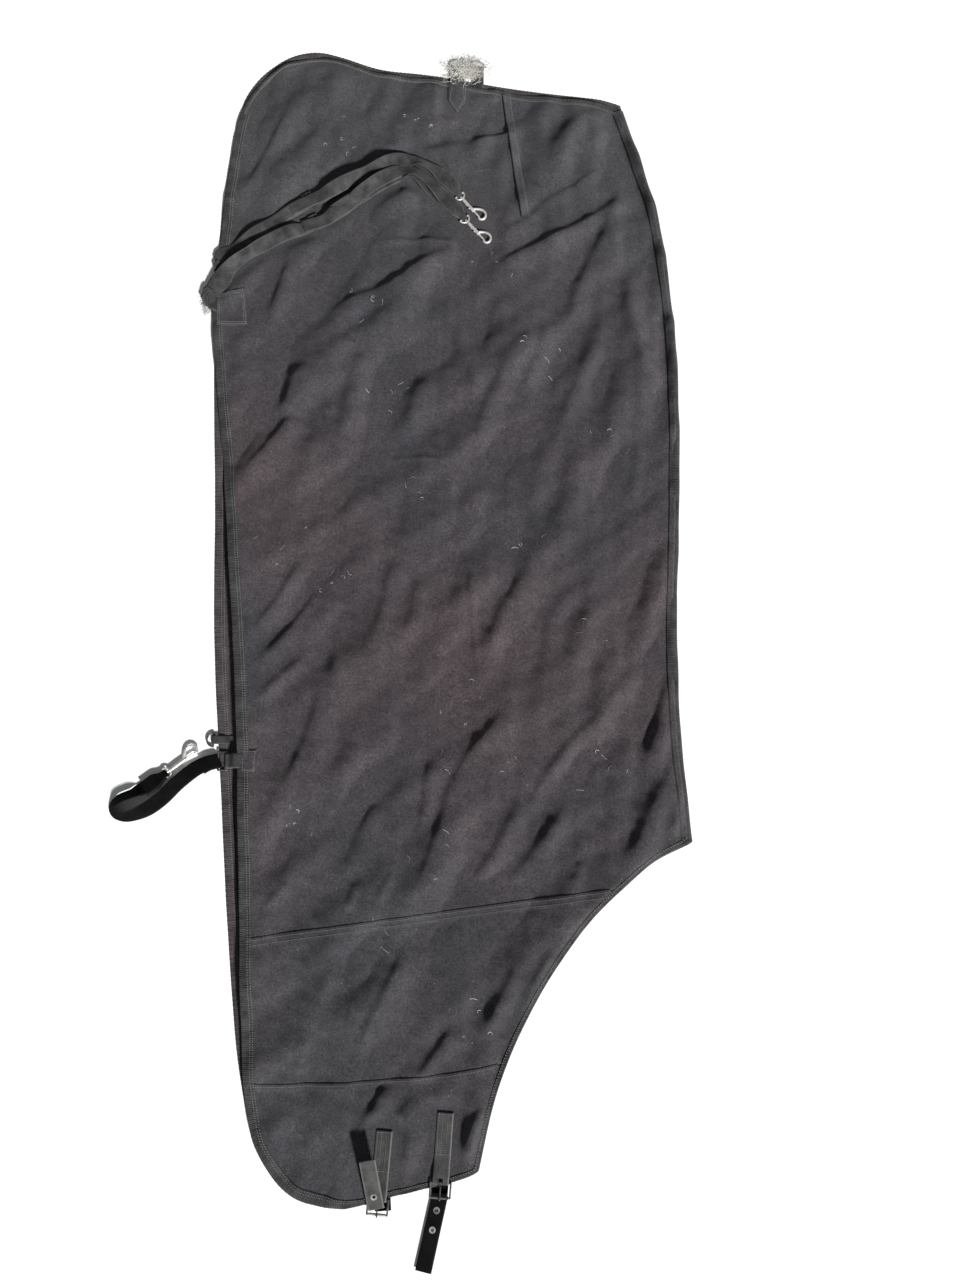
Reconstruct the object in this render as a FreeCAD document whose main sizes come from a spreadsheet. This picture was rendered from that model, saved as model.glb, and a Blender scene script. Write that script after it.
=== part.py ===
import FreeCAD, Part
import math
import os

# A horse's fly sheet, folded in half along the spine and laid flat with its inner half down.
# +Z is up, +Y runs from the chest to the tail, +X runs from the belly hem to the spine.
# Millimetres. z = 0 is the underside of the far half, which lies on the ground.

doc = FreeCAD.newDocument("FlySheet")
V = FreeCAD.Vector
UP = V(0, 0, 1)

DIMENSIONS = {
    "cloth_thick": 1.5,
    "binding_thick": 1.8,
    "binding_wide": 18,
    "near_lift": 4.5,
    "web_wide": 25,
    "web_thick": 1.6,
    "wire_radius": 1.5,
    "running_gap": 0.08,
    "leg_level": 10.4,
    "belly_level": 5.25,
    "far_ring_level": 3.3,
    "buckle_level": 9.5,
    "eye_radius": 9,
    "boss_radius": 3,
    "barrel_radius": 3,
    "barrel_start": 14,
    "barrel_end": 40,
    "bolt_radius": 1.6,
    "bolt_start": 29,
    "bolt_end": 55.5,
    "bolt_travel": 7,
    "knob_radius": 1.5,
    "knob_height": 4,
    "pin_head_radius": 2.2,
    "pin_head_long": 1.6,
    "boss_long": 5,
    "collar_long": 2,
    "collar_radius": 2.4,
    "hook_wire": 2.2,
    "spring_radius": 1.5,
    "spring_pitch": 1.5,
    "spring_wire": 0.25,
    "ring_radius": 14,
    "small_ring_radius": 11,
    "loop_reach": 14,
    "loop_wide": 30,
    "patch_thick": 1,
    "tail_tab_wide": 22,
    "tail_tab_long": 50,
    "small_tab_wide": 14,
    "small_tab_long": 40,
    "anchor_long": 45,
    "eye_web": 13,
    "taper": 18,
    "buckle_reach": 21,
    "buckle_half": 15.5,
    "roller_radius": 2.3,
    "roller_core": 1.2,
    "tongue_radius": 1.1,
    "eyelet_radius": 5,
    "eyelet_bore": 2.4,
    "eyelet_neck": 3,
    "eyelet_lip": 0.35,
    "eyelet_pitch": 28,
    "slide_half": 16,
    "slide_thick": 2.6,
    "slide_bar": 2.4,
    "slide_long": 18,
    "chape_split": 5,
    "right_billet_long": 102,
    "left_billet_long": 80,
    "billet_rise": 14,
}

sheet = doc.addObject("Spreadsheet::Sheet", "Dimensions")
for row, (alias, number) in enumerate(DIMENSIONS.items(), start=1):
    sheet.set("A%d" % row, alias)
    sheet.set("B%d" % row, str(number))
    sheet.setAlias("B%d" % row, alias)
doc.recompute()


def size(alias):
    """A driving dimension, read from the sheet."""
    return float(sheet.get(alias))


cloth = size("cloth_thick")
binding = size("binding_thick")
near_z = size("near_lift")
top_z = near_z + binding
web = size("web_wide")
thick = size("web_thick")
wire = size("wire_radius")
fold_inner = wire + size("running_gap")
fold_outer = fold_inner + thick
nodes = []


# ---------- helpers ----------

def keep(obj, label, place=None):
    """Name a finished piece, put it in its place and list it for export."""
    obj.Label = label
    if place is not None:
        obj.Placement = place
    nodes.append(obj)
    return obj


def feature(label, shape, place=None):
    """A piece whose shape is worked out with Part's own functions."""
    obj = doc.addObject("Part::Feature", label)
    obj.Shape = shape
    return keep(obj, label, place if place is not None else FreeCAD.Placement())


def bound(kind, name, sizes, place=FreeCAD.Placement()):
    """A Part primitive whose sizes follow the sheet."""
    obj = doc.addObject(kind, name)
    for prop, formula in sizes.items():
        obj.setExpression(prop, formula)
    obj.Placement = place
    return obj


def fused(name, parts):
    obj = doc.addObject("Part::MultiFuse", name)
    obj.Shapes = parts
    return obj


def cut(name, base, tool):
    obj = doc.addObject("Part::Cut", name)
    obj.Base = base
    obj.Tool = tool
    return obj


def at(x, y, z, angle=0):
    """A place on the sheet, with the piece's own +X turned by angle about +Z."""
    return FreeCAD.Placement(V(x, y, z), FreeCAD.Rotation(UP, angle))


def along(axis, x=0, y=0, z=0):
    """A local place whose +Z points along axis, for cylinders that lie down."""
    return FreeCAD.Placement(V(x, y, z), FreeCAD.Rotation(UP, axis))


def flat(points, z):
    return [V(x, y, z) for x, y in points]


def polygon_slab(points, z, thickness):
    corners = flat(points + points[:1], z)
    return Part.Face(Part.makePolygon(corners)).extrude(V(0, 0, thickness))


def rounded_corner(before, corner, after, offset, sharp=False):
    """A tangent arc at one corner, offset sideways: its edges, where it starts and where it ends."""
    run_in = corner - before
    run_out = after - corner
    reach = 0.45 * min(run_in.Length, run_out.Length)
    run_in.normalize()
    run_out.normalize()
    left_in = UP.cross(run_in)
    left_out = UP.cross(run_out)
    if sharp:
        mitre = corner + (left_in + left_out) * (offset / (1 + left_in.dot(left_out)))
        return [], mitre, mitre
    turn = math.atan2(run_in.cross(run_out).z, run_in.dot(run_out))
    hand = 1 if turn > 0 else -1
    radius = reach / math.tan(abs(turn) / 2)
    start = corner - run_in * reach
    end = corner + run_out * reach
    centre = start + left_in * radius * hand
    middle = centre + (corner - centre).normalize() * (radius - hand * offset)
    arc_start = start + left_in * offset
    arc_end = end + left_out * offset
    return [Part.Arc(arc_start, middle, arc_end).toShape()], arc_start, arc_end


def loop_face(points, sharp, offset, z):
    """A face whose closed outline is straight runs joined by tangent arcs, moved sideways by offset."""
    corners = flat(points, z)
    joints = []
    for number, corner in enumerate(corners):
        after = corners[(number + 1) % len(corners)]
        joints.append(rounded_corner(corners[number - 1], corner, after, offset, points[number] in sharp))
    edges = []
    for number, (arcs, start, end) in enumerate(joints):
        edges.append(Part.makeLine(joints[number - 1][2], start))
        edges.extend(arcs)
    return Part.Face(Part.Wire(edges))


def band_side(points, offset):
    """One side of a strap: straight runs joined by tangent arcs, offset from the middle line."""
    edges = []
    first = (points[1] - points[0]).normalize()
    last = points[0] + UP.cross(first) * offset
    for before, corner, after in zip(points, points[1:], points[2:]):
        arcs, start, end = rounded_corner(before, corner, after, offset)
        edges.append(Part.makeLine(last, start))
        edges.extend(arcs)
        last = end
    final = (points[-1] - points[-2]).normalize()
    edges.append(Part.makeLine(last, points[-1] + UP.cross(final) * offset))
    return edges


def band(route, width, z, thickness):
    """A flat strap along a route of plan points."""
    points = flat(route, z)
    left = band_side(points, width / 2)
    right = band_side(points, -width / 2)
    ends = [
        Part.makeLine(left[0].Vertexes[0].Point, right[0].Vertexes[0].Point),
        Part.makeLine(left[-1].Vertexes[-1].Point, right[-1].Vertexes[-1].Point),
    ]
    outline = Part.Wire(Part.__sortEdges__(left + right + ends))
    return Part.Face(outline).extrude(V(0, 0, thickness))


def across(radius, width):
    """A solid cylinder along local Y, with its middle at the origin."""
    return Part.makeCylinder(radius, width, V(0, -width / 2, 0), V(0, 1, 0))


def sleeve(width, tail=None):
    """Webbing wrapped round a bar that lies along local Y, with the tail that it is sewn down by."""
    wrap = across(fold_outer, width)
    if tail is not None:
        wrap = wrap.fuse(tail)
    return wrap.cut(across(fold_inner, 2 * width))


def half_sleeve(width):
    """The outer half of a sleeve, on the side that local +X points to."""
    box = Part.makeBox(fold_outer, width, 2 * fold_outer, V(0, -width / 2, -fold_outer))
    return sleeve(width).common(box)


# ---------- the two halves of the sheet ----------

TAIL = {
    "far": [(-375, 910), (-345, 957), (-294, 999), (-242, 1010), (-190, 995),
            (-124, 969), (-10, 957), (140, 925), (290, 908), (327, 895)],
    "near": [(-382, 880), (-352, 936), (-298, 982), (-242, 995), (-190, 982),
             (-124, 957), (-10, 945), (140, 913), (286, 897), (320, 885)],
}
SPINE = [(395, 652), (412, 446), (415, 313), (410, 129), (396, -83), (396, -286)]
NECK = [(344, -481), (240, -572), (170, -667), (120, -757), (85, -845)]
FRONT = [(27, -961), (-58, -978), (-149, -1003), (-234, -982), (-288, -903)]
HEM = {
    "far": [(-314, -787), (-338, -590), (-360, -352), (-383, -118), (-391, 129),
            (-405, 350), (-411, 550), (-402, 740)],
    "near": [(-302, -816), (-317, -543), (-336, -220), (-362, 57), (-396, 313),
             (-415, 484), (-405, 622), (-397, 760)],
}
WITHERS = (410, -452)
NECK_FOOT = (62, -946)
SPINE_INSET = {"far": 0, "near": 7}
HUB = V(40, -100, 0)
SECTOR_REACH = 5
SECTOR_HEIGHT = 50


def half_outline(half):
    """The five edges of one half, in order: tail, spine, neck, front and belly hem."""
    inset = SPINE_INSET[half]
    withers = (WITHERS[0] - inset, WITHERS[1])
    tail = TAIL[half]
    hem = HEM[half]
    spine = [tail[-1]] + [(x - inset, y) for x, y in SPINE] + [withers]
    neck = [withers] + NECK + [NECK_FOOT]
    front = [NECK_FOOT] + FRONT + [hem[0]]
    return {"tail": tail, "spine": spine, "neck": neck, "front": front, "hem": hem + [tail[0]]}


def sector(start, end):
    """A wedge from the middle of the sheet that holds everything between two corners."""
    corners = [HUB] + [HUB + (V(*corner, 0) - HUB) * SECTOR_REACH for corner in (start, end)]
    middle = (corners[1] + corners[2]) * 0.5
    corners.insert(2, HUB + (middle - HUB).normalize() * 1000 * SECTOR_REACH)
    corners.append(HUB)
    return Part.Face(Part.makePolygon(corners)).extrude(V(0, 0, SECTOR_HEIGHT))


SEAM_BODY = [(-700, -653), (-144, -581), (700, -471)]
SEAM_CHEST = [(-700, -790), (-232, -821), (-91, -817), (96, -793), (700, -716)]
PANELS = {
    "rear": SEAM_BODY + [(700, 1500), (-700, 1500)],
    "shoulder": SEAM_CHEST + SEAM_BODY[::-1],
    "chest": SEAM_CHEST + [(700, -1500), (-700, -1500)],
}


def make_half(half, z):
    """Three cloth panels that meet at the seams, and the bound edges round them."""
    edges = half_outline(half)
    points = [point for edge in edges.values() for point in edge[:-1]]
    sharp = [edges["spine"][0], edges["neck"][0], edges["front"][0]]
    outline = loop_face(points, sharp, 0, z)
    inside = loop_face(points, sharp, -size("binding_wide"), z)
    border = outline.extrude(V(0, 0, binding)).cut(inside.extrude(V(0, 0, binding)))
    panels = inside.extrude(V(0, 0, cloth))
    for edge, points in edges.items():
        strip = border.common(sector(points[0], points[-1]))
        if edge == "spine" and half == "near":
            panels = outline.extrude(V(0, 0, cloth)).common(sector(points[0], points[-1])).fuse(panels)
        elif edge == "spine":
            feature("spine_tape", strip)
        else:
            feature(half + "_" + edge + "_binding", strip)
    panels = panels.removeSplitter()
    for panel, region in PANELS.items():
        piece = panels.common(polygon_slab(region, -1, 20))
        feature(half + "_" + panel + "_panel", piece)


make_half("far", 0)
make_half("near", near_z)


# ---------- patches, tabs and anchors sewn to the halves ----------

LEG_PATCH = [(-409, 504), (-373, 504), (-368, 456), (-405, 451)]
BELLY_PATCH = [(-326, -302), (-283, -302), (-283, -340), (-326, -340)]
patch_thick = size("patch_thick")
feature("leg_strap_patch", polygon_slab(LEG_PATCH, top_z, patch_thick))
feature("belly_patch", polygon_slab(BELLY_PATCH, top_z, patch_thick))

BELLY_RING_X = -352
BELLY_Y = -321
belly_z = size("belly_level")
tail = Part.makeBox(BELLY_PATCH[0][0] - BELLY_RING_X, web, thick, V(0, -web / 2, top_z - belly_z))
feature("belly_tab", sleeve(web, tail), at(BELLY_RING_X, BELLY_Y, belly_z))

TAIL_RING_Y = 974
NEAR_RING_X = 22
FAR_RING_X = 61
TAIL_POINT = (-96, 0)
TAIL_SHOULDER = (-70, 17)
tab_wide = size("tail_tab_wide")
pointed = [TAIL_POINT, (TAIL_SHOULDER[0], -TAIL_SHOULDER[1]), (0, -tab_wide / 2), (0, tab_wide / 2),
           TAIL_SHOULDER]
tail = polygon_slab(pointed, top_z - belly_z, thick)
feature("near_tail_tab", sleeve(tab_wide, tail), at(NEAR_RING_X, TAIL_RING_Y, belly_z, 90))

far_z = size("far_ring_level")


def straight_tail(alias):
    """A plain strip that runs back from a far half's ring on top of its binding."""
    long = size(alias + "_long")
    wide = size(alias + "_wide")
    return Part.makeBox(long, wide, thick, V(-long, -wide / 2, binding - far_z))


far_tab = sleeve(tab_wide, straight_tail("tail_tab"))
feature("far_tail_tab", far_tab, at(FAR_RING_X, TAIL_RING_Y, far_z, 90))

FAR_BELLY_X = -376
FAR_BELLY_Y = -286
small_tab = sleeve(size("small_tab_wide"), straight_tail("small_tab"))
feature("far_belly_tab", small_tab, at(FAR_BELLY_X, FAR_BELLY_Y, far_z, 180))

HEM_EDGE_X = -420
ANCHOR_Z = 2.4
NEAR_ROOT_Y = 520
FAR_ROOT_Y = 566
for side, root_y in (("near", NEAR_ROOT_Y), ("far", FAR_ROOT_Y)):
    anchor = Part.makeBox(size("anchor_long"), web, thick, V(HEM_EDGE_X, root_y - web / 2, ANCHOR_Z))
    feature(side + "_leg_strap_anchor", anchor)


# ---------- swivel bolt snaps ----------

BOSS_START = 8.4
PIN_START = 5
BARREL_WALL = 3
BOLT_GAP = 0.1
KNOB_PLACE = 3
HOOK = [(37.5, 1.2), (42, 7), (48.5, 12.4), (56.5, 13.8), (63.2, 9.6), (64.8, 3), (61.4, -1.2), (56, -0.4)]


def hook_wire():
    """The round hook: a wire that bows out to local +Y and comes back to meet the bolt."""
    curve = Part.BSplineCurve()
    curve.interpolate(flat(HOOK, 0))
    along_wire = curve.tangent(curve.FirstParameter)[0]
    section = Part.Wire([Part.makeCircle(size("hook_wire"), V(*HOOK[0], 0), along_wire)])
    sweep = Part.BRepOffsetAPI.MakePipeShell(Part.Wire([curve.toShape()]))
    sweep.setBiNormalMode(UP)
    sweep.add(section)
    sweep.build()
    sweep.makeSolid()
    return sweep.shape()


def make_snap(name, place):
    """Eye, body with its hook, bolt and spring. Local +X runs from the eye's bar to the hook."""
    lying = V(1, 0, 0)
    eye_bar = bound("Part::Cylinder", name + "_eye_bar", {
        "Radius": "Dimensions.wire_radius", "Height": "2 * Dimensions.eye_radius"},
        along(V(0, 1, 0), y=-size("eye_radius")))
    eye_bow = bound("Part::Torus", name + "_eye_bow", {
        "Radius1": "Dimensions.eye_radius", "Radius2": "Dimensions.wire_radius"},
        FreeCAD.Placement(V(0, 0, 0), FreeCAD.Rotation(UP, -90)))
    eye_bow.Angle3 = 180
    boss = bound("Part::Cylinder", name + "_eye_boss", {
        "Radius": "Dimensions.boss_radius", "Height": "Dimensions.boss_long"},
        along(lying, x=BOSS_START))
    bore = bound("Part::Cylinder", name + "_eye_bore", {
        "Radius": "Dimensions.wire_radius + Dimensions.running_gap",
        "Height": "2 * Dimensions.boss_long"},
        along(lying, x=BOSS_START - size("boss_long") / 2))
    ring = fused(name + "_eye_ring", [eye_bar, eye_bow, boss])
    keep(cut(name + "_eye", ring, bore), name + "_eye", place)

    barrel_start = size("barrel_start")
    barrel_end = size("barrel_end")
    radius = size("barrel_radius")
    bolt_radius = size("bolt_radius")
    bolt_start = size("bolt_start")
    travel = size("bolt_travel")
    pin_length = barrel_start - PIN_START + BARREL_WALL / 3
    head = Part.makeCylinder(size("pin_head_radius"), size("pin_head_long"), V(PIN_START, 0, 0), lying)
    pin = Part.makeCylinder(wire, pin_length, V(PIN_START, 0, 0), lying)
    barrel = Part.makeCylinder(radius, barrel_end - barrel_start, V(barrel_start, 0, 0), lying)
    collar = Part.makeCone(radius, size("collar_radius"), size("collar_long"), V(barrel_end, 0, 0), lying)
    body = barrel.fuse(collar).fuse(hook_wire()).fuse(pin).fuse(head)
    hollow_start = barrel_start + BARREL_WALL
    hollow_length = size("bolt_end") + BOLT_GAP - hollow_start
    hollow = Part.makeCylinder(bolt_radius + BOLT_GAP, hollow_length, V(hollow_start, 0, 0), lying)
    knob_x = bolt_start + KNOB_PLACE
    knob_gap = size("knob_radius") + 2 * BOLT_GAP
    slot_start = V(knob_x - knob_gap - travel, -2 * radius, -knob_gap)
    slot = Part.makeBox(travel + 2 * knob_gap, 2 * radius, 2 * knob_gap, slot_start)
    body = body.cut(hollow).cut(slot)
    feature(name + "_body", body, place)

    shaft = bound("Part::Cylinder", name + "_shaft", {
        "Radius": "Dimensions.bolt_radius",
        "Height": "Dimensions.bolt_end - Dimensions.bolt_start"},
        along(lying, x=bolt_start))
    knob = bound("Part::Cylinder", name + "_knob", {
        "Radius": "Dimensions.knob_radius", "Height": "Dimensions.knob_height"},
        along(V(0, -1, 0), x=knob_x))
    keep(fused(name + "_bolt", [shaft, knob]), name + "_bolt", place)

    wire_gap = size("spring_wire") + BOLT_GAP
    coil_length = bolt_start - hollow_start - 2 * wire_gap
    pitch = size("spring_pitch")
    helix = Part.makeHelix(pitch, coil_length, size("spring_radius") - size("spring_wire"))
    wire_end = helix.Edges[0].Vertexes[0].Point
    profile = Part.Wire([Part.makeCircle(size("spring_wire"), wire_end, V(0, 1, 0))])
    coil = Part.Wire(helix.Edges).makePipeShell([profile], True, True)
    lying_down = along(lying, x=hollow_start + wire_gap)
    feature(name + "_spring", coil, place.multiply(lying_down))


# ---------- leg straps ----------

taper = size("taper")
eye_web = size("eye_web")
LEG_ROUTES = {
    "near": [(-440, 506), (-385, 558), (-345, 590), (-300, 620), (-255, 640), (-213, 660),
             (-173, 687), (-128, 720), (-83, 746), (-55, 744), (-27, 720), (5, 690)],
    "far": [(-440, 552), (-375, 600), (-332, 634), (-279, 674), (-211, 715), (-147, 753),
            (-92, 782), (-55, 782), (-22, 757), (0, 734)],
}
LEG_EYES = {"near": (36, 659), "far": (27, 705)}
SNAP_TURN = {"near": -50, "far": -50}
SLIDE_AT = {"near": 4, "far": 3}


def taper_slab(z):
    """The last stretch of webbing, gathered to fit the snap's eye."""
    points = [(-taper, -web / 2), (0, -eye_web / 2), (0, eye_web / 2), (-taper, web / 2)]
    return polygon_slab(points, z, thick)


def gathered_end():
    """Both layers and the fold at a snap's eye, in the eye's own frame."""
    parts = [taper_slab(-fold_outer), taper_slab(fold_inner)]
    return half_sleeve(eye_web).multiFuse(parts)


def strap_end(eye, turn):
    """Where the gathered stretch begins, in plan."""
    angle = math.radians(turn)
    return (eye[0] - taper * math.cos(angle), eye[1] - taper * math.sin(angle))


def make_slide():
    """A flat three-bar slide. Local X is along the strap."""
    half = size("slide_half")
    bar = size("slide_bar")
    long = size("slide_long")
    depth = size("slide_thick")
    plate = Part.makeBox(long, 2 * half, depth, V(-long / 2, -half, -depth / 2))
    corners = [edge for edge in plate.Edges if edge.BoundBox.ZLength > depth / 2]
    plate = plate.makeFillet(bar / 2, corners)
    opening = (long - 3 * bar) / 2
    for x in (bar / 2, -bar / 2 - opening):
        window = Part.makeBox(opening, 2 * (half - bar), 2 * depth, V(x, -half + bar, -depth))
        plate = plate.cut(window)
    return plate


leg_z = size("leg_level")
for side, route in LEG_ROUTES.items():
    eye = LEG_EYES[side]
    turn = SNAP_TURN[side]
    place = at(eye[0], eye[1], leg_z, turn)
    path = route + [strap_end(eye, turn)]
    end = gathered_end()
    end.Placement = place
    lower = band(path, web, leg_z - fold_outer, thick)
    outside = Part.makeBox(100, 400, 40, V(HEM_EDGE_X - 100, 300, 0))
    lower = lower.cut(outside)
    step = SLIDE_AT[side]
    before = V(*path[step], 0)
    after = V(*path[step + 1], 0)
    middle = (before + after) * 0.5
    slide_turn = math.degrees(math.atan2(after.y - before.y, after.x - before.x))
    upper = band([(middle.x, middle.y)] + path[step + 1:], web, leg_z + fold_inner, thick)
    feature(side + "_leg_strap_web", lower.multiFuse([end, upper]).removeSplitter())

    feature(side + "_leg_slide", make_slide(), at(middle.x, middle.y, leg_z, slide_turn))
    make_snap(side + "_leg_snap", place)


# ---------- belly ring, strap and snap ----------

BELLY_BAR_X = BELLY_RING_X - size("loop_reach")
BELLY_ROUTE = [(BELLY_BAR_X, BELLY_Y), (-390, -327), (-430, -362), (-476, -402), (-510, -420),
               (-534, -408), (-532, -380), (-500, -364)]
BELLY_EYE = (-452, -342)
BELLY_TURN = 37
RETURN = 40

loop_half = size("loop_wide") / 2
wires = []
for y in (-loop_half, loop_half):
    wires.append(bound("Part::Cylinder", "belly_ring_rail", {
        "Radius": "Dimensions.wire_radius", "Height": "Dimensions.loop_reach"},
        along(V(-1, 0, 0), y=y)))
for x in (0, -size("loop_reach")):
    wires.append(bound("Part::Cylinder", "belly_ring_bar", {
        "Radius": "Dimensions.wire_radius", "Height": "Dimensions.loop_wide"},
        along(V(0, 1, 0), x=x, y=-loop_half)))
    for y in (-loop_half, loop_half):
        wires.append(bound("Part::Sphere", "belly_ring_corner", {
            "Radius": "Dimensions.wire_radius"}, at(x, y, 0)))
keep(fused("belly_ring", wires), "belly_ring", at(BELLY_RING_X, BELLY_Y, belly_z))

belly_path = BELLY_ROUTE + [strap_end(BELLY_EYE, BELLY_TURN)]
belly_place = at(BELLY_EYE[0], BELLY_EYE[1], belly_z, BELLY_TURN)
eye_end = gathered_end()
eye_end.Placement = belly_place
ring_end = half_sleeve(web)
ring_end.Placement = at(BELLY_BAR_X, BELLY_Y, belly_z)
lower = band(belly_path, web, belly_z - fold_outer, thick)
returned = band(belly_path[:3], web, belly_z + fold_inner, thick)
returned = returned.common(Part.makeBox(RETURN, 100, 20, V(BELLY_BAR_X - RETURN, -400, 0)))
snap_return = band([belly_path[-2], belly_path[-1]], web, belly_z + fold_inner, thick)
feature("belly_strap_web", lower.multiFuse([eye_end, ring_end, returned, snap_return]).removeSplitter())
make_snap("belly_snap", belly_place)


# ---------- D rings ----------

def make_d_ring(name, radius_alias, place):
    """A straight bar closed by a half-round bow. Local +X points away from the tab."""
    radius = "Dimensions." + radius_alias
    bar = bound("Part::Cylinder", name + "_bar", {
        "Radius": "Dimensions.wire_radius", "Height": "2 * " + radius},
        along(V(0, 1, 0), y=-size(radius_alias)))
    bow = bound("Part::Torus", name + "_bow", {
        "Radius1": radius, "Radius2": "Dimensions.wire_radius"},
        FreeCAD.Placement(V(0, 0, 0), FreeCAD.Rotation(UP, -90)))
    bow.Angle3 = 180
    ends = []
    for y in (-size(radius_alias), size(radius_alias)):
        ends.append(bound("Part::Sphere", name + "_end", {
            "Radius": "Dimensions.wire_radius"}, at(0, y, 0)))
    keep(fused(name, [bar, bow] + ends), name, place)


make_d_ring("near_tail_ring", "ring_radius", at(NEAR_RING_X, TAIL_RING_Y, belly_z, 90))
make_d_ring("far_tail_ring", "ring_radius", at(FAR_RING_X, TAIL_RING_Y, far_z, 90))
make_d_ring("far_belly_ring", "small_ring_radius", at(FAR_BELLY_X, FAR_BELLY_Y, far_z, 180))


# ---------- chest closures ----------

buckle_z = size("buckle_level")
CLOSURES = {
    "left": {"bar": (-90, -985), "turn": -94.7, "chape": 98},
    "right": {"bar": (5, -961), "turn": -94.1, "chape": 100},
}
ROLLER_END_GAP = 2.2
TONGUE_WIDE = 3.4
TONGUE_RISE_GAP = 0.4
TONGUE_FOOT = V(2, 0, 0.9)
TONGUE_PAST_ROLLER = 2
CHAPE_OVER = 0.35
CHAPE_LINK = 3


def make_buckle(side, place):
    """Frame with its bar, roller and tongue. Local +X points from the bar to the roller."""
    half = "Dimensions.buckle_half"
    reach = "Dimensions.buckle_reach"
    parts = [bound("Part::Cylinder", side + "_frame_bar", {
        "Radius": "Dimensions.wire_radius", "Height": "2 * " + half},
        along(V(0, 1, 0), y=-size("buckle_half")))]
    parts.append(bound("Part::Cylinder", side + "_frame_core", {
        "Radius": "Dimensions.roller_core", "Height": "2 * " + half},
        along(V(0, 1, 0), x=size("buckle_reach"), y=-size("buckle_half"))))
    for y in (-size("buckle_half"), size("buckle_half")):
        parts.append(bound("Part::Cylinder", side + "_frame_rail", {
            "Radius": "Dimensions.wire_radius", "Height": reach}, along(V(1, 0, 0), y=y)))
        for x in (0, size("buckle_reach")):
            parts.append(bound("Part::Sphere", side + "_frame_corner", {
                "Radius": "Dimensions.wire_radius"}, at(x, y, 0)))
    keep(fused(side + "_buckle_frame", parts), side + "_buckle_frame", place)

    roller_half = size("buckle_half") - ROLLER_END_GAP
    roller = bound("Part::Cylinder", side + "_roller_tube", {
        "Radius": "Dimensions.roller_radius",
        "Height": "2 * (Dimensions.buckle_half - %s)" % ROLLER_END_GAP},
        along(V(0, 1, 0), x=size("buckle_reach"), y=-roller_half))
    hole = bound("Part::Cylinder", side + "_roller_hole", {
        "Radius": "Dimensions.roller_core + Dimensions.running_gap",
        "Height": "2 * Dimensions.buckle_half"},
        along(V(0, 1, 0), x=size("buckle_reach"), y=-size("buckle_half")))
    keep(cut(side + "_buckle_roller", roller, hole), side + "_buckle_roller", place)

    tongue_radius = size("tongue_radius")
    loop = across(fold_inner + tongue_radius, TONGUE_WIDE)
    rise = size("roller_radius") + tongue_radius + TONGUE_RISE_GAP
    tip = V(size("buckle_reach") + TONGUE_PAST_ROLLER, 0, rise)
    run = tip - TONGUE_FOOT
    rod = Part.makeCylinder(tongue_radius, run.Length, TONGUE_FOOT, run)
    tongue = loop.fuse(rod).fuse(Part.makeSphere(tongue_radius, tip))
    feature(side + "_buckle_tongue", tongue.cut(across(fold_inner, 2 * TONGUE_WIDE)), place)


def make_chape(side, length, place):
    """The sewn-down strap that holds a buckle, wrapped round the bar and split for the tongue."""
    back = CHAPE_OVER * length
    base = Part.makeBox(length, web, thick, V(-length, -web / 2, top_z - buckle_z))
    over = Part.makeBox(back, web, thick, V(-back, -web / 2, fold_inner))
    link = Part.makeBox(CHAPE_LINK, web, fold_outer * 2, V(-back, -web / 2, -fold_outer))
    shape = sleeve(web).multiFuse([base, over, link])
    split = size("chape_split")
    reach = 2 * fold_outer
    shape = shape.cut(Part.makeBox(2 * reach, split, 2 * reach, V(-reach, -split / 2, -reach)))
    feature(side + "_chape", shape, place)


for side, closure in CLOSURES.items():
    place = at(closure["bar"][0], closure["bar"][1], buckle_z, closure["turn"])
    make_chape(side, closure["chape"], place)
    make_buckle(side, place)


CLIP = 2
EYELET_START = 14


def billet_slab(length):
    """A strap end: square where it starts at local x = 0, its far corners just taken off."""
    half = web / 2
    points = [(0, -half), (length - CLIP, -half), (length, CLIP - half),
              (length, half - CLIP), (length - CLIP, half), (0, half)]
    return polygon_slab(points, 0, thick)


def hole_at(x, radius):
    return Part.makeCylinder(radius, 40, V(x, 0, -20))


def eyelet(x, z):
    """A metal ring with a flange on each face of the webbing."""
    radius = size("eyelet_radius")
    lip = size("eyelet_lip")
    tube = Part.makeCylinder(size("eyelet_neck"), thick + 2 * lip, V(x, 0, z - lip))
    lower = Part.makeCylinder(radius, lip, V(x, 0, z - lip))
    upper = Part.makeCylinder(radius, lip, V(x, 0, z + thick))
    return tube.multiFuse([lower, upper]).cut(hole_at(x, size("eyelet_bore")))


BILLET_Z = 2.1
right_place = at(2, -988.5, BILLET_Z, -103)
right_billet = billet_slab(size("right_billet_long"))
right_eyelets = []
for number in (0, 1):
    x = EYELET_START + number * size("eyelet_pitch")
    right_billet = right_billet.cut(hole_at(x, size("eyelet_neck")))
    right_eyelets.append(eyelet(x, 0))
feature("right_billet", right_billet, right_place)
feature("right_billet_eyelets", Part.makeCompound(right_eyelets), right_place)

root = band([(6, -905), (5, -950), (3, -983)], web, BILLET_Z, thick)
feature("right_billet_root", root)
root = band([(-88, -905), (-89, -950), (-91, -990)], web, BILLET_Z, thick)
feature("left_billet_root", root)

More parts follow.
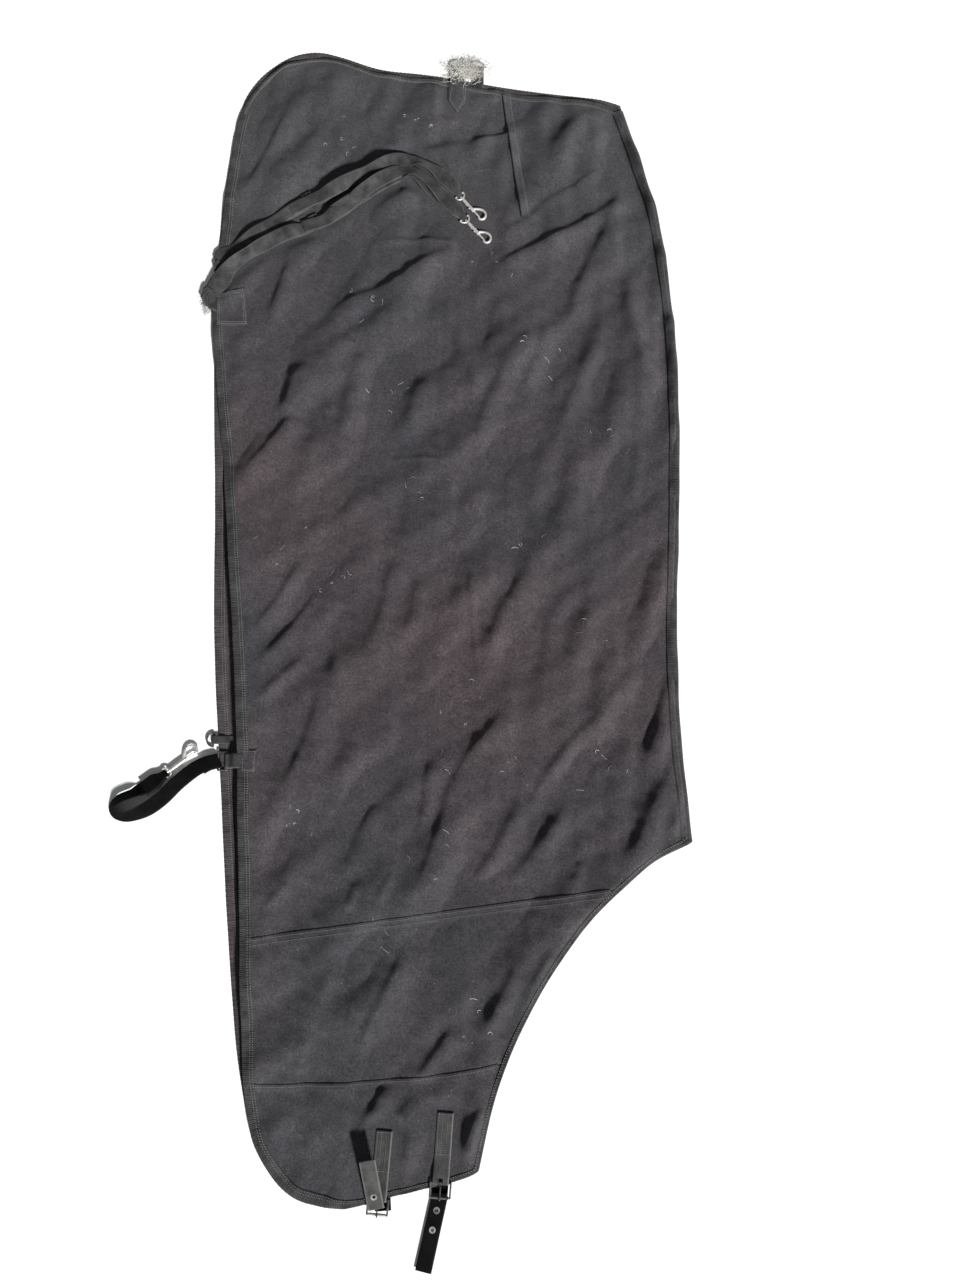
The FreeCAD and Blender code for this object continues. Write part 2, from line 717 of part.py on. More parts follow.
# The fastened billet comes up through the frame, over the bar and back, and its end stands up.
LEFT_EYELET = 22
DROP = 3.6
TONGUE_HOLE = V(-thick, -1.1, 2)
TONGUE_HOLE_RADIUS = 2.2
left_place = at(-92, -998, buckle_z, 100)
lift = fold_outer + size("eyelet_lip") + size("running_gap")
rise = FreeCAD.Placement(V(0, 0, lift), FreeCAD.Rotation(V(0, 1, 0), -size("billet_rise")))
slab = billet_slab(size("left_billet_long")).cut(hole_at(LEFT_EYELET, size("eyelet_neck")))
slab.Placement = rise
drop = Part.makeBox(thick, web, lift + thick + DROP, V(0, -web / 2, -DROP))
tongue_hole = Part.makeCylinder(TONGUE_HOLE_RADIUS, 10 * thick, TONGUE_HOLE, V(1, 0, 0))
feature("left_billet", slab.fuse(drop).cut(tongue_hole), left_place)
feature("left_billet_eyelet", eyelet(LEFT_EYELET, 0), left_place.multiply(rise))


# ---------- check and write ----------

doc.recompute()
for obj in doc.Objects:
    if "Invalid" in obj.State or "Error" in obj.State:
        raise RuntimeError(obj.Name + " failed: " + str(obj.State))
for obj in nodes:
    if obj.Shape.isNull() or not obj.Shape.isValid():
        raise RuntimeError(obj.Label + " has no valid shape")

os.makedirs("parts", exist_ok=True)
for obj in nodes:
    obj.Shape.exportStep("parts/" + obj.Label + ".step")
    box = obj.Shape.BoundBox
    print("%-26s %9.1f mm3  z %6.2f to %6.2f  solids %d" % (
        obj.Label, obj.Shape.Volume, box.ZMin, box.ZMax, len(obj.Shape.Solids)))
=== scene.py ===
import math

import bmesh
import bpy
import numpy as np
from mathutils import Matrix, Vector


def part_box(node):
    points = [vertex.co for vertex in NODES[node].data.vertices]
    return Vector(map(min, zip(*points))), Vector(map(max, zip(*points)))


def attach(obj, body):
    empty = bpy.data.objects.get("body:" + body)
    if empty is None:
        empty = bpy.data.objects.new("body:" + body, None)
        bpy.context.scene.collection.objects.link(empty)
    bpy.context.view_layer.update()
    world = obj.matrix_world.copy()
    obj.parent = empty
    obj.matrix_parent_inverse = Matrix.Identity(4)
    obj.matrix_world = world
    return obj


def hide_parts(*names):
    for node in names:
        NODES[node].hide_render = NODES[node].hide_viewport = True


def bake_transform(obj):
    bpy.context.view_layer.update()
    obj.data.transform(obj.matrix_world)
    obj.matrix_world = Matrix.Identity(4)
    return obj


# A dark cotton fly sheet, folded along its spine and laid flat, tail at +Y and chest at -Y.
# The near half is on top. Lengths are metres unless a name or a comment says mm.

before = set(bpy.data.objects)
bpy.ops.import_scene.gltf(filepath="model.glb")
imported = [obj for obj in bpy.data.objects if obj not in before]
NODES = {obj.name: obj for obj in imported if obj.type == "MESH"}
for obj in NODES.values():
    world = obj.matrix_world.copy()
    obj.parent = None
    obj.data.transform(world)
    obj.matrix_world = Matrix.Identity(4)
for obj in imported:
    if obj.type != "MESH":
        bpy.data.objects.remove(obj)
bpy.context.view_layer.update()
MM = 0.001
UP = np.array([0.0, 0.0, 1.0])


# ---------- camera, light and floor ----------

def add_camera():
    """Looks down on the sheet from 1.6 m above its withers, leaning ten degrees towards the tail."""
    data = bpy.data.cameras.new("camera")
    data.sensor_width = 36
    data.lens = 27.06
    camera = bpy.data.objects.new("camera", data)
    camera.location = (0.065, -0.400, 1.600)
    camera.rotation_euler = (math.radians(10), 0, 0)
    bpy.context.collection.objects.link(camera)
    bpy.context.scene.camera = camera


def add_sun(name, energy, location, angle):
    """A sun that shines from its location towards the middle of the sheet."""
    data = bpy.data.lights.new(name, "SUN")
    data.energy = energy
    data.angle = angle
    light = bpy.data.objects.new(name, data)
    light.location = location
    light.rotation_euler = (-Vector(location)).to_track_quat("-Z", "Y").to_euler()
    bpy.context.collection.objects.link(light)


def add_studio():
    """A soft key from the chest side, low enough to draw the folds, and a pale room."""
    add_sun("key", 6.4, (1.15, -2.11, 1.62), math.radians(6))
    world = bpy.data.worlds.new("studio")
    world.use_nodes = True
    background = world.node_tree.nodes["Background"]
    background.inputs["Color"].default_value = (0.95, 0.97, 1.0, 1)
    background.inputs["Strength"].default_value = 0.17
    bpy.context.scene.world = world
    bpy.context.scene.view_settings.view_transform = "Standard"

    floor = new_object("floor", [(-6, -6, 0), (6, -6, 0), (6, 6, 0), (-6, 6, 0)], [(0, 1, 2, 3)])
    floor.location.z = -0.2 * MM
    paper, _, _ = new_material("floor_paper", (0.90, 0.90, 0.89), Roughness=0.9)
    floor.data.materials.append(paper)


# ---------- meshes ----------

def new_object(name, points, faces):
    mesh = bpy.data.meshes.new(name)
    mesh.from_pydata([tuple(p) for p in points], [], faces)
    mesh.update()
    thing = bpy.data.objects.new(name, mesh)
    bpy.context.collection.objects.link(thing)
    return thing


def shade_smooth(thing):
    for polygon in thing.data.polygons:
        polygon.use_smooth = True


def grid_object(name, grid, uv=None, closed_across=False, slot=None):
    """A mesh from rows of points, shape (rows, columns, 3), with UVs of shape (rows, columns, 2)."""
    rows, columns = grid.shape[:2]
    last = columns if closed_across else columns - 1
    faces = []
    for r in range(rows - 1):
        for c in range(last):
            d = (c + 1) % columns
            if slot and in_slot(r, c, columns, slot):
                continue
            faces.append((r * columns + c, r * columns + d, (r + 1) * columns + d, (r + 1) * columns + c))
    if slot:
        faces += slot_walls(columns, slot)
    if closed_across:
        faces.append(tuple(range(columns - 1, -1, -1)))
        faces.append(tuple((rows - 1) * columns + c for c in range(columns)))
    thing = new_object(name, grid.reshape(-1, 3), faces)
    shade_smooth(thing)
    if uv is not None:
        flat_uv = uv.reshape(-1, 2)
        layer = thing.data.uv_layers.new(name="UVMap")
        index = np.zeros(len(thing.data.loops), int)
        thing.data.loops.foreach_get("vertex_index", index)
        layer.data.foreach_set("uv", flat_uv[index].astype(np.float32).ravel())
    return thing


def in_slot(r, c, columns, slot):
    """Whether a face of a ribbon lies where its slot is open, on its upper or its lower side."""
    first, last, left, right = slot
    inside = left <= c < right or columns - 1 - right <= c < columns - 1 - left
    return first <= r < last and inside


def slot_walls(columns, slot):
    """The faces that join a ribbon's two sides along the edges and ends of its slot."""
    first, last, left, right = slot
    walls = []
    for r in range(first, last):
        a, b = r * columns, (r + 1) * columns
        walls.append((a + left, b + left, b + columns - 1 - left, a + columns - 1 - left))
        walls.append((a + right, a + columns - 1 - right, b + columns - 1 - right, b + right))
    for r in (first, last):
        for c in range(left, right):
            a = r * columns
            walls.append((a + c, a + c + 1, a + columns - 2 - c, a + columns - 1 - c))
    return walls


def thicken(thing, amount):
    """Gives an open surface its thickness, half of it on each side."""
    modifier = thing.modifiers.new("thickness", "SOLIDIFY")
    modifier.thickness = amount
    modifier.offset = 0


def finish(thing, material, body, slot, *nodes):
    """Gives a piece its material and body, and hides the CAD nodes that it stands for. Its slot is not used.
    """
    thing.data.materials.append(material)
    if body:
        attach(thing, body)
    if nodes:
        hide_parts(*nodes)
    return thing


def smooth_line(points, step):
    """Points along a Catmull-Rom curve through given points, about step apart."""
    p = np.array(points, float)
    p = np.vstack([2 * p[0] - p[1], p, 2 * p[-1] - p[-2]])
    out = []
    for i in range(1, len(p) - 2):
        count = max(2, int(round(np.linalg.norm(p[i + 1] - p[i]) / step)))
        t = np.linspace(0, 1, count, endpoint=False)[:, None]
        a = 2 * p[i]
        b = p[i + 1] - p[i - 1]
        c = 2 * p[i - 1] - 5 * p[i] + 4 * p[i + 1] - p[i + 2]
        d = -p[i - 1] + 3 * p[i] - 3 * p[i + 1] + p[i + 2]
        out.append(0.5 * (a + b * t + c * t ** 2 + d * t ** 3))
    out.append(p[-2][None])
    return np.vstack(out)


def run_length(line):
    """How far along a line each of its points is."""
    return np.concatenate([[0], np.cumsum(np.linalg.norm(np.diff(line, axis=0), axis=1))])


def evenly(line, count):
    """The same line with a number of evenly spaced points."""
    lengths = run_length(line)
    even = np.linspace(0, lengths[-1], count)
    return np.stack([np.interp(even, lengths, line[:, k]) for k in range(line.shape[1])], axis=1)


def resample(line, step):
    """The same line with points at an even spacing of about step."""
    return evenly(line, max(2, int(round(run_length(line)[-1] / step)) + 1))


def tangents(line):
    t = np.gradient(line, axis=0)
    return t / np.maximum(np.linalg.norm(t, axis=1), 1e-9)[:, None]


def smoothstep(t):
    t = np.clip(t, 0, 1)
    return t * t * (3 - 2 * t)


def sideways(ahead):
    """The level direction across a line that runs ahead, and the direction square to both."""
    side = np.cross(UP, ahead)
    side /= max(np.linalg.norm(side), 1e-9)
    return side, np.cross(ahead, side)


def ring_points(middle, side, up, radius, count):
    """Points on a small circle round the middle of a thread."""
    angles = [2 * math.pi * k / count for k in range(count)]
    return [middle + radius * (math.cos(a) * side + math.sin(a) * up) for a in angles]


def tube_faces(start, rings, count):
    """The faces between rings of count points each, the first point being number start."""
    faces = []
    for low in range(start, start + (rings - 1) * count, count):
        for k in range(count):
            m = (k + 1) % count
            faces.append((low + k, low + m, low + count + m, low + count + k))
    return faces


# ---------- outlines read from the frame ----------

PANELS = ("rear", "shoulder", "chest")
EDGES = ("hem_binding", "tail_binding", "neck_binding", "front_binding")


def plan_edges(names):
    """All mesh edges of some CAD nodes in plan, as (start x, start y, end x, end y)."""
    found = []
    for name in names:
        mesh = NODES[name].data
        co = np.array([v.co[:2] for v in mesh.vertices])
        pairs = np.array([e.vertices[:] for e in mesh.edges])
        found.append(np.hstack([co[pairs[:, 0]], co[pairs[:, 1]]]))
    return np.vstack(found)


def crossings(edges, axis, values):
    """Lowest and highest place where the edges cross each value of x (axis 0) or y (axis 1)."""
    a, b = edges[:, axis], edges[:, axis + 2]
    c, d = edges[:, 1 - axis], edges[:, 3 - axis]
    low, high = [], []
    for value in values:
        hit = (a <= value) != (b <= value)
        if not hit.any():
            low.append(np.nan)
            high.append(np.nan)
            continue
        place = c[hit] + (d[hit] - c[hit]) * (value - a[hit]) / (b[hit] - a[hit])
        low.append(place.min())
        high.append(place.max())
    return np.array(low), np.array(high)


class Half:
    """One half of the sheet: its outline and its seams, read from its CAD nodes."""

    TAIL_CORNER_Y = {"near": 0.880, "far": 0.905}
    SPINE_TOP_Y = {"near": 0.884, "far": 0.894}
    FRONT_CORNER_Y = {"near": -0.816, "far": -0.790}
    NECK_FOOT_Y = -0.944

    def __init__(self, side):
        self.side = side
        names = [f"{side}_{panel}_panel" for panel in PANELS] + [f"{side}_{edge}" for edge in EDGES]
        if side == "far":
            names.append("spine_tape")
        self.edges = plan_edges(names)
        ys = np.linspace(-1.0, 1.0, 801)
        low, high = crossings(self.edges, 1, ys)
        good = ~np.isnan(low)
        self.side_y, self.left_x, self.right_x = ys[good], low[good], high[good]
        xs = np.linspace(-0.415, 0.41, 601)
        low, high = crossings(self.edges, 0, xs)
        good = ~np.isnan(low)
        self.end_x, self.bottom_y, self.top_y = xs[good], low[good], high[good]
        self.seams = [self.seam("shoulder"), self.seam("chest")]

    def left(self, y):
        return np.interp(y, self.side_y, self.left_x)

    def right(self, y):
        return np.interp(y, self.side_y, self.right_x)

    def top(self, x):
        return np.interp(x, self.end_x, self.top_y)

    def bottom(self, x):
        return np.interp(x, self.end_x, self.bottom_y)

    def seam(self, panel):
        """The top edge of a panel as a quadratic in x."""
        edges = plan_edges([f"{self.side}_{panel}_panel"])
        low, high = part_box(f"{self.side}_{panel}_panel")
        xs = np.linspace(low.x + 0.01, min(high.x, 0.09) - 0.01, 9)
        return np.polyfit(xs, crossings(edges, 0, xs)[1], 2)

    def seam_line(self, number, count):
        """A seam from the hem to the neckline."""
        ends = []
        for edge in (self.left, self.right):
            x = edge(-0.6)
            for _ in range(12):
                x = edge(np.polyval(self.seams[number], x))
            ends.append(x)
        x = np.linspace(ends[0], ends[1], count)
        return np.stack([x, np.polyval(self.seams[number], x)], axis=1)

    def side_line(self, edge, low_y, high_y, count):
        y = np.linspace(low_y, high_y, count)
        return np.stack([edge(y), y], axis=1)

    def tail_line(self, count):
        start = self.left(self.TAIL_CORNER_Y[self.side])
        end = self.right(self.SPINE_TOP_Y[self.side])
        x = start + (end - start) * (0.5 - 0.5 * np.cos(np.linspace(0, np.pi, count)))
        y = self.top(x)
        y[0] = self.TAIL_CORNER_Y[self.side]
        return evenly(np.stack([x, y], axis=1), count)

    def front_line(self, count):
        start = self.left(self.FRONT_CORNER_Y[self.side])
        end = self.right(self.NECK_FOOT_Y)
        x = start + (end - start) * (0.5 - 0.5 * np.cos(np.linspace(0, np.pi, 4 * count)))
        y = self.bottom(x)
        y[0] = self.FRONT_CORNER_Y[self.side]
        y[-1] = self.NECK_FOOT_Y
        return evenly(np.stack([x, y], axis=1), count)


def coons(bottom, top, left, right):
    """A plan grid that fills four edge lines."""
    u = np.linspace(0, 1, len(bottom))[None, :, None]
    v = np.linspace(0, 1, len(left))[:, None, None]
    blend = (1 - v) * bottom[None] + v * top[None] + (1 - u) * left[:, None] + u * right[:, None]
    corners = ((1 - u) * (1 - v) * bottom[0] + u * (1 - v) * bottom[-1]
               + (1 - u) * v * top[0] + u * v * top[-1])
    return blend - corners


# ---------- the lie of the cloth ----------

# Each fold, in mm: its height before FOLD_GAIN, how far it falls away on the steep side, which faces
# the belly hem and tail, and on the gentle side, and its line from top to bottom.
FOLDS = [
    (9, 9, 24, [(127, -212), (90, -262), (50, -311), (26, -352), (10, -401), (-6, -456), (-26, -512),
     (-51, -551)]),
    (4, 7, 14, [(-16, -316), (-19, -352), (-25, -401), (-36, -448)]),
    (6, 10, 20, [(281, -241), (230, -279), (197, -320), (167, -360), (146, -417)]),
    (6, 12, 18, [(220, -376), (183, -433), (146, -480), (105, -531)]),
    (5, 10, 16, [(139, -376), (114, -425), (89, -472), (49, -527)]),
    (16, 13, 40, [(403, -299), (371, -356), (336, -429), (309, -480), (298, -512)]),
    (7, 9, 12, [(405, -336), (389, -393), (375, -448)]),
    (8, 12, 22, [(393, -166), (371, -229), (350, -295), (337, -344)]),
    (15, 11, 34, [(-194, -183), (-201, -229), (-216, -279), (-237, -336), (-260, -385), (-292, -433)]),
    (5, 14, 14, [(-231, -59), (-183, -124), (-169, -187), (-148, -262), (-128, -328)]),
    (6, 8, 14, [(-233, 19), (-270, -42), (-309, -106)]),
    (6, 9, 14, [(-202, -24), (-235, -76), (-271, -124), (-307, -166)]),
    (5, 9, 14, [(-220, -145), (-269, -187), (-304, -229)]),
    (5, 12, 16, [(-80, 19), (-94, -59), (-118, -136)]),
    (4, 12, 16, [(-33, 2), (-43, -68), (-61, -128)]),
    (6, 13, 18, [(159, 19), (116, -51), (90, -111), (82, -166)]),
    (4, 14, 20, [(235, -16), (196, -76), (166, -128)]),
    (2.8, 4, 6, [(46, 19), (53, -76), (61, -191)]),
    (2.4, 4, 6, [(15, -132), (36, -162), (60, -194)]),
    (10, 10, 26, [(-45, -597), (-68, -658), (-97, -714), (-118, -763), (-131, -810)]),
    (6, 9, 16, [(30, -729), (-9, -785), (-34, -818)]),
    (6, 11, 18, [(136, -627), (100, -696), (65, -759)]),
    (5, 7, 10, [(-213, -748), (-217, -807)]),
    (4, 14, 18, [(-161, -635), (-187, -696), (-209, -740)]),
    (7, 9, 16, [(-81, -818), (-97, -858), (-117, -897)]),
    (6, 9, 14, [(74, -847), (48, -894), (30, -929)]),
    (4, 9, 12, [(188, -605), (152, -673), (121, -740)]),
    (3, 7, 9, [(-132, -512), (-147, -562)]),
    (3, 7, 9, [(-72, -496), (-103, -551)]),
    (5, 14, 22, [(333, -153), (289, -221), (247, -279)]),
    (4, 14, 22, [(-98, -385), (-130, -448), (-152, -512)]),
    (3, 7, 9, [(227, -480), (218, -519)]),
    (3, 7, 9, [(-241, -512), (-279, -558)]),
    (12, 7, 24, [(307, 775), (246, 728), (186, 689), (152, 654), (117, 632), (89, 603)]),
    (7, 9, 18, [(330, 701), (255, 648), (168, 603), (105, 565), (72, 548)]),
    (9, 10, 28, [(43, 604), (-18, 577), (-74, 537), (-142, 504), (-188, 481), (-221, 448)]),
    (3.6, 4, 7, [(53, 607), (-26, 616), (-82, 615), (-137, 607)]),
    (9, 9, 18, [(-271, 578), (-295, 511), (-303, 452)]),
    (11, 13, 28, [(334, 747), (295, 632), (258, 552), (239, 496), (221, 437)]),
    (7, 12, 16, [(322, 548), (334, 474), (349, 393), (358, 343)]),
    (7, 13, 20, [(170, 448), (128, 390), (87, 314), (67, 257), (57, 208)]),
    (6, 16, 24, [(112, 518), (93, 459), (88, 393)]),
    (14, 9, 26, [(-255, 285), (-287, 243), (-340, 166)]),
    (7, 14, 22, [(-253, 379), (-267, 314), (-281, 278)]),
    (6, 10, 18, [(-278, 890), (-310, 818), (-339, 763), (-363, 708)]),
    (6, 20, 30, [(-53, 504), (-134, 444), (-207, 372), (-250, 285)]),
    (2.6, 4, 7, [(142, 832), (92, 826), (43, 806)]),
    (4, 14, 20, [(106, 818), (43, 810), (-49, 782), (-140, 732)]),
    (5, 14, 18, [(2, 511), (20, 444), (54, 357), (59, 278)]),
    (2.4, 3, 6, [(37, 195), (-49, 202), (-156, 199)]),
    (5, 14, 20, [(200, 459), (165, 372), (131, 300)]),
    (6, 14, 24, [(289, 459), (253, 372), (218, 285), (197, 215)]),
    (5, 16, 26, [(-140, 401), (-158, 321), (-170, 243)]),
    (5, 16, 26, [(-24, 357), (-50, 285), (-76, 229)]),
    (4, 16, 24, [(278, 890), (227, 826), (184, 779)]),
    (4, 16, 24, [(-157, 906), (-220, 842), (-268, 786)]),
    (2.5, 5, 9, [(42, 946), (-1, 930), (-58, 938)]),
    (3.5, 9, 18, [(80, -836), (56, -885), (30, -938)]),
    (2, 8, 14, [(-81, -816), (-83, -842), (-86, -865)]),
    (2.5, 9, 16, [(-32, -836), (-48, -855), (-63, -874)]),
    (3.5, 9, 18, [(-99, -839), (-116, -892), (-147, -966)]),
    (2.5, 9, 15, [(27, -874), (4, -908), (-30, -945)]),
]
# The dart's stitched line, from the tail down, in metres.
DART = [(0.108, 0.912), (0.118, 0.830), (0.130, 0.740), (0.141, 0.660)]
NEAR_LEVEL = 5.3 * MM    # where each half's cloth lies before folds and ripples
FAR_LEVEL = 0.9 * MM
FOLD_GAIN = 1.5          # how much taller the folds are made than the table says
STEEPEST = 0.86          # a fold's height is at most this share of its steep side's width
SOFT_TOP = 15 * MM       # cloth that rises further than this is pressed down,
SOFT_RANGE = 7 * MM      # to this much above it at most
# Pockets along the spine, where the roll stands up and the cloth beside it sinks: y, half length, depth.
POCKETS = [(0.785, 0.026, 0.8), (0.681, 0.030, 1.0), (0.585, 0.017, 0.7), (0.455, 0.016, 0.7),
           (0.381, 0.026, 1.0), (0.263, 0.016, 0.5)]


def line_distance(x, y, line):
    """Distance from a line, how far along it the nearest place is (0 to 1), and its side."""
    best = np.full(x.shape, 1e9)
    where = np.zeros(x.shape)
    side = np.ones(x.shape)
    pieces = len(line) - 1
    for number, (a, b) in enumerate(zip(line, line[1:])):
        ax, ay = a
        dx, dy = b[0] - ax, b[1] - ay
        t = np.clip(((x - ax) * dx + (y - ay) * dy) / (dx * dx + dy * dy), 0, 1)
        away = np.hypot(x - ax - t * dx, y - ay - t * dy)
        nearer = away < best
        best = np.where(nearer, away, best)
        where = np.where(nearer, (number + t) / pieces, where)
        side = np.where(nearer, np.sign(dx * (y - ay) - dy * (x - ax)), side)
    return best, where, side


def ripples(x, y):
    """Soft, low undulation, longer along the diagonal than across it, and finer crumple."""
    total = np.zeros(x.shape)
    state = np.random.default_rng(21)
    # The length of a wave in metres, its height in mm, and how far its direction strays in radians.
    for usual, height, stray in ((0.21, 5.0, 0.35), (0.12, 3.4, 0.45), (0.06, 1.7, 0.6), (0.032, 0.55, 1.0)):
        for _ in range(7):
            angle = math.radians(-32) + state.normal(0, stray)
            length = usual * state.uniform(0.75, 1.35)
            phase = state.uniform(0, 2 * math.pi)
            bend = state.uniform(-1.2, 1.2)
            along = x * math.cos(angle) + y * math.sin(angle)
            across = -x * math.sin(angle) + y * math.cos(angle)
            swerve = bend * np.sin(across * 9 + phase)
            total += height / 2.6 * np.sin(2 * math.pi * along / length + phase + swerve)
    return total * MM


def flat_places():
    """Plan boxes of the pieces that lie on the near half, so the cloth under them stays down."""
    words = ("snap", "slide", "buckle", "left_billet", "_ring", "tail_tab", "chape")
    boxes = [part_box(name) for name in NODES if any(word in name for word in words) and "belly" not in name]
    return [(low.x, low.y, high.x, high.y) for low, high in boxes]


# Where the leg straps lie in plan, from hem to snap.
LEG_ROUTES = {
    "near": [(-0.440, 0.506), (-0.385, 0.558), (-0.345, 0.590), (-0.300, 0.620), (-0.255, 0.640),
             (-0.213, 0.660), (-0.173, 0.687), (-0.128, 0.720), (-0.083, 0.746), (-0.055, 0.744),
             (-0.027, 0.720), (0.005, 0.690)],
    "far": [(-0.440, 0.552), (-0.375, 0.600), (-0.332, 0.634), (-0.279, 0.674), (-0.211, 0.710),
            (-0.147, 0.743), (-0.092, 0.769), (-0.055, 0.769), (-0.022, 0.751), (0.000, 0.733)],
}
READY_FOLDS = [(smooth_line(np.array(line) * MM, 20 * MM), height * MM, steep * MM, gentle * MM)
               for height, steep, gentle, line in FOLDS]
FLAT_PLACES = flat_places()
near = Half("near")
far = Half("far")


def near_lift(x, y):
    """How far the near half's cloth rises above its lying level."""
    lift = ripples(x, y) + 3.0 * MM
    for line, height, steep, gentle in READY_FOLDS:
        away, where, side = line_distance(x, y, line)
        width = np.where(side > 0, gentle, steep)
        ends = smoothstep(np.minimum(where, 1 - where) * 3.4 + 0.05)
        tall = min(FOLD_GAIN * height, STEEPEST * steep)
        lift += tall * ends * np.exp(-(away / width) ** 2)
    away, where, side = line_distance(x, y, DART)
    width = np.where(side > 0, 12 * MM, 5 * MM)
    lift += 3.0 * MM * np.exp(-(away / width) ** 2) * smoothstep((1 - where) * 6)
    # The cloth lies flatter near its edges, but its hem stands up from the middle to the chest.
    edge = x - near.left(y)
    rim = np.minimum(np.minimum(edge, near.right(y) - x), near.top(x) - y)
    lift *= 0.35 + 0.65 * smoothstep(rim / 0.03 + 0.2)
    raised = smoothstep((0.25 - y) / 0.25) * smoothstep((y + 0.90) / 0.25)
    lift += 16 * MM * raised * np.exp(-(edge / 0.045) ** 2)
    # It sinks in the pockets beside the spine's roll and rises over the roll itself.
    inside = near.right(y) - x
    lift = lift * (1 - 0.9 * np.minimum(pocket(y), 1) * np.exp(-((inside - 16 * MM) / (16 * MM)) ** 2))
    lift += roll_height(y) * np.exp(-(inside / (9 * MM)) ** 2)
    lift = np.clip(lift, -1.2 * MM, None)
    pressed = SOFT_TOP + SOFT_RANGE * np.tanh((lift - SOFT_TOP) / SOFT_RANGE)
    return np.where(lift > SOFT_TOP, pressed, lift) * calm_share(x, y)


def calm_share(x, y):
    """0 where a metal piece, a tab or a leg strap lies on the near half, 1 a few centimetres off."""
    calm = np.ones(x.shape)
    for low_x, low_y, high_x, high_y in FLAT_PLACES:
        beside = np.maximum(np.maximum(low_x - x, x - high_x), 0)
        beyond = np.maximum(np.maximum(low_y - y, y - high_y), 0)
        calm = np.minimum(calm, smoothstep((np.hypot(beside, beyond) - 3 * MM) / (26 * MM)))
    for route in LEG_ROUTES.values():
        away = line_distance(x, y, route)[0]
        calm = np.minimum(calm, smoothstep((away - 12 * MM) / (30 * MM)))
    return calm


def pocket(y):
    """How far into a pocket a place along the spine is."""
    return sum(depth * np.exp(-((y - place) / half) ** 2) for place, half, depth in POCKETS)


def roll_height(y):
    """How high the spine's rolled edge stands above the near half, along the spine."""
    tall = smoothstep((y - 0.18) / 0.22) * smoothstep((0.90 - y) / 0.10)
    return (2.2 + 5.0 * tall + 9.5 * pocket(y)) * MM * (1 + 0.12 * np.sin(y * 31) + 0.08 * np.sin(y * 73 + 1))


def near_z(x, y):
    return NEAR_LEVEL + near_lift(x, y)


def far_z(x, y):
    uneven = np.sin(y * 41 + 1.3) * np.sin(y * 17 + x * 30)
    return FAR_LEVEL + 0.35 * MM * (1 + uneven)


# ---------- materials ----------

def set_values(made, values):
    """Sets a node's own settings or its inputs, whose names have _ for each space."""
    for key, value in values.items():
        if hasattr(made, key):
            setattr(made, key, value)
        else:
            made.inputs[key.replace("_", " ")].default_value = value


def new_material(name, colour, **values):
    material = bpy.data.materials.new(name)
    material.use_nodes = True
    shader = material.node_tree.nodes["Principled BSDF"]
    shader.inputs["Base Color"].default_value = (*colour, 1)
    set_values(shader, values)
    return material, shader, material.node_tree


def node(tree, kind, **values):
    made = tree.nodes.new(kind)
    set_values(made, values)
    return made


def feed(tree, socket, value):
    """Sets a socket to a number or a colour, or links another node's output to it."""
    if isinstance(value, (int, float)):
        socket.default_value = value
    elif isinstance(value, tuple):
        socket.default_value = (*value, 1)
    else:
        tree.links.new(value, socket)


def ramp(tree, source, stops):
    """A colour ramp through (place, colour) stops. A plain number stands for a grey."""
    made = tree.nodes.new("ShaderNodeValToRGB")
    while len(made.color_ramp.elements) < len(stops):
        made.color_ramp.elements.new(0.5)
    for element, (place, colour) in zip(made.color_ramp.elements, stops):
        element.position = place
        element.color = (*colour, 1) if isinstance(colour, tuple) else (colour, colour, colour, 1)
    tree.links.new(source, made.inputs["Fac"])
    return made.outputs["Color"]


def mix(tree, factor, a, b, kind="MIX"):
    made = node(tree, "ShaderNodeMix", data_type="RGBA", blend_type=kind)
    for number, value in ((0, factor), (6, a), (7, b)):
        feed(tree, made.inputs[number], value)
    return made.outputs[2]


def calc(tree, operation, a, b):
    made = node(tree, "ShaderNodeMath", operation=operation)
    feed(tree, made.inputs[0], a)
    feed(tree, made.inputs[1], b)
    return made.outputs[0]


def noise(tree, coordinates, scale, detail=4.0, roughness=0.55):
    made = node(tree, "ShaderNodeTexNoise", Scale=scale, Detail=detail, Roughness=roughness)
    tree.links.new(coordinates, made.inputs["Vector"])
    return made.outputs["Fac"]


def wave(tree, coordinates, scale, direction, distortion=0.6):
    made = node(tree, "ShaderNodeTexWave", bands_direction=direction, Scale=scale, Distortion=distortion,
                Detail=2)
    tree.links.new(coordinates, made.inputs["Vector"])
    return made.outputs["Fac"]


def remap(tree, value, **limits):
    """A value mapped from one range to another."""
    made = node(tree, "ShaderNodeMapRange", **limits)
    tree.links.new(value, made.inputs["Value"])
    return made.outputs["Result"]


def axis_of(tree, vector, axis):
    made = node(tree, "ShaderNodeSeparateXYZ")
    tree.links.new(vector, made.inputs[0])
    return made.outputs[axis]


def worn(tree, pattern, share, wear):
    """A pattern that takes a share of the tone, worn by a noise."""
    return calc(tree, "MULTIPLY", calc(tree, "ADD", calc(tree, "MULTIPLY", pattern, share), 1 - share), wear)


def bump(tree, shader, height, strength, distance):
    made = node(tree, "ShaderNodeBump", Strength=strength, Distance=distance)
    tree.links.new(height, made.inputs["Height"])
    tree.links.new(made.outputs["Normal"], shader.inputs["Normal"])


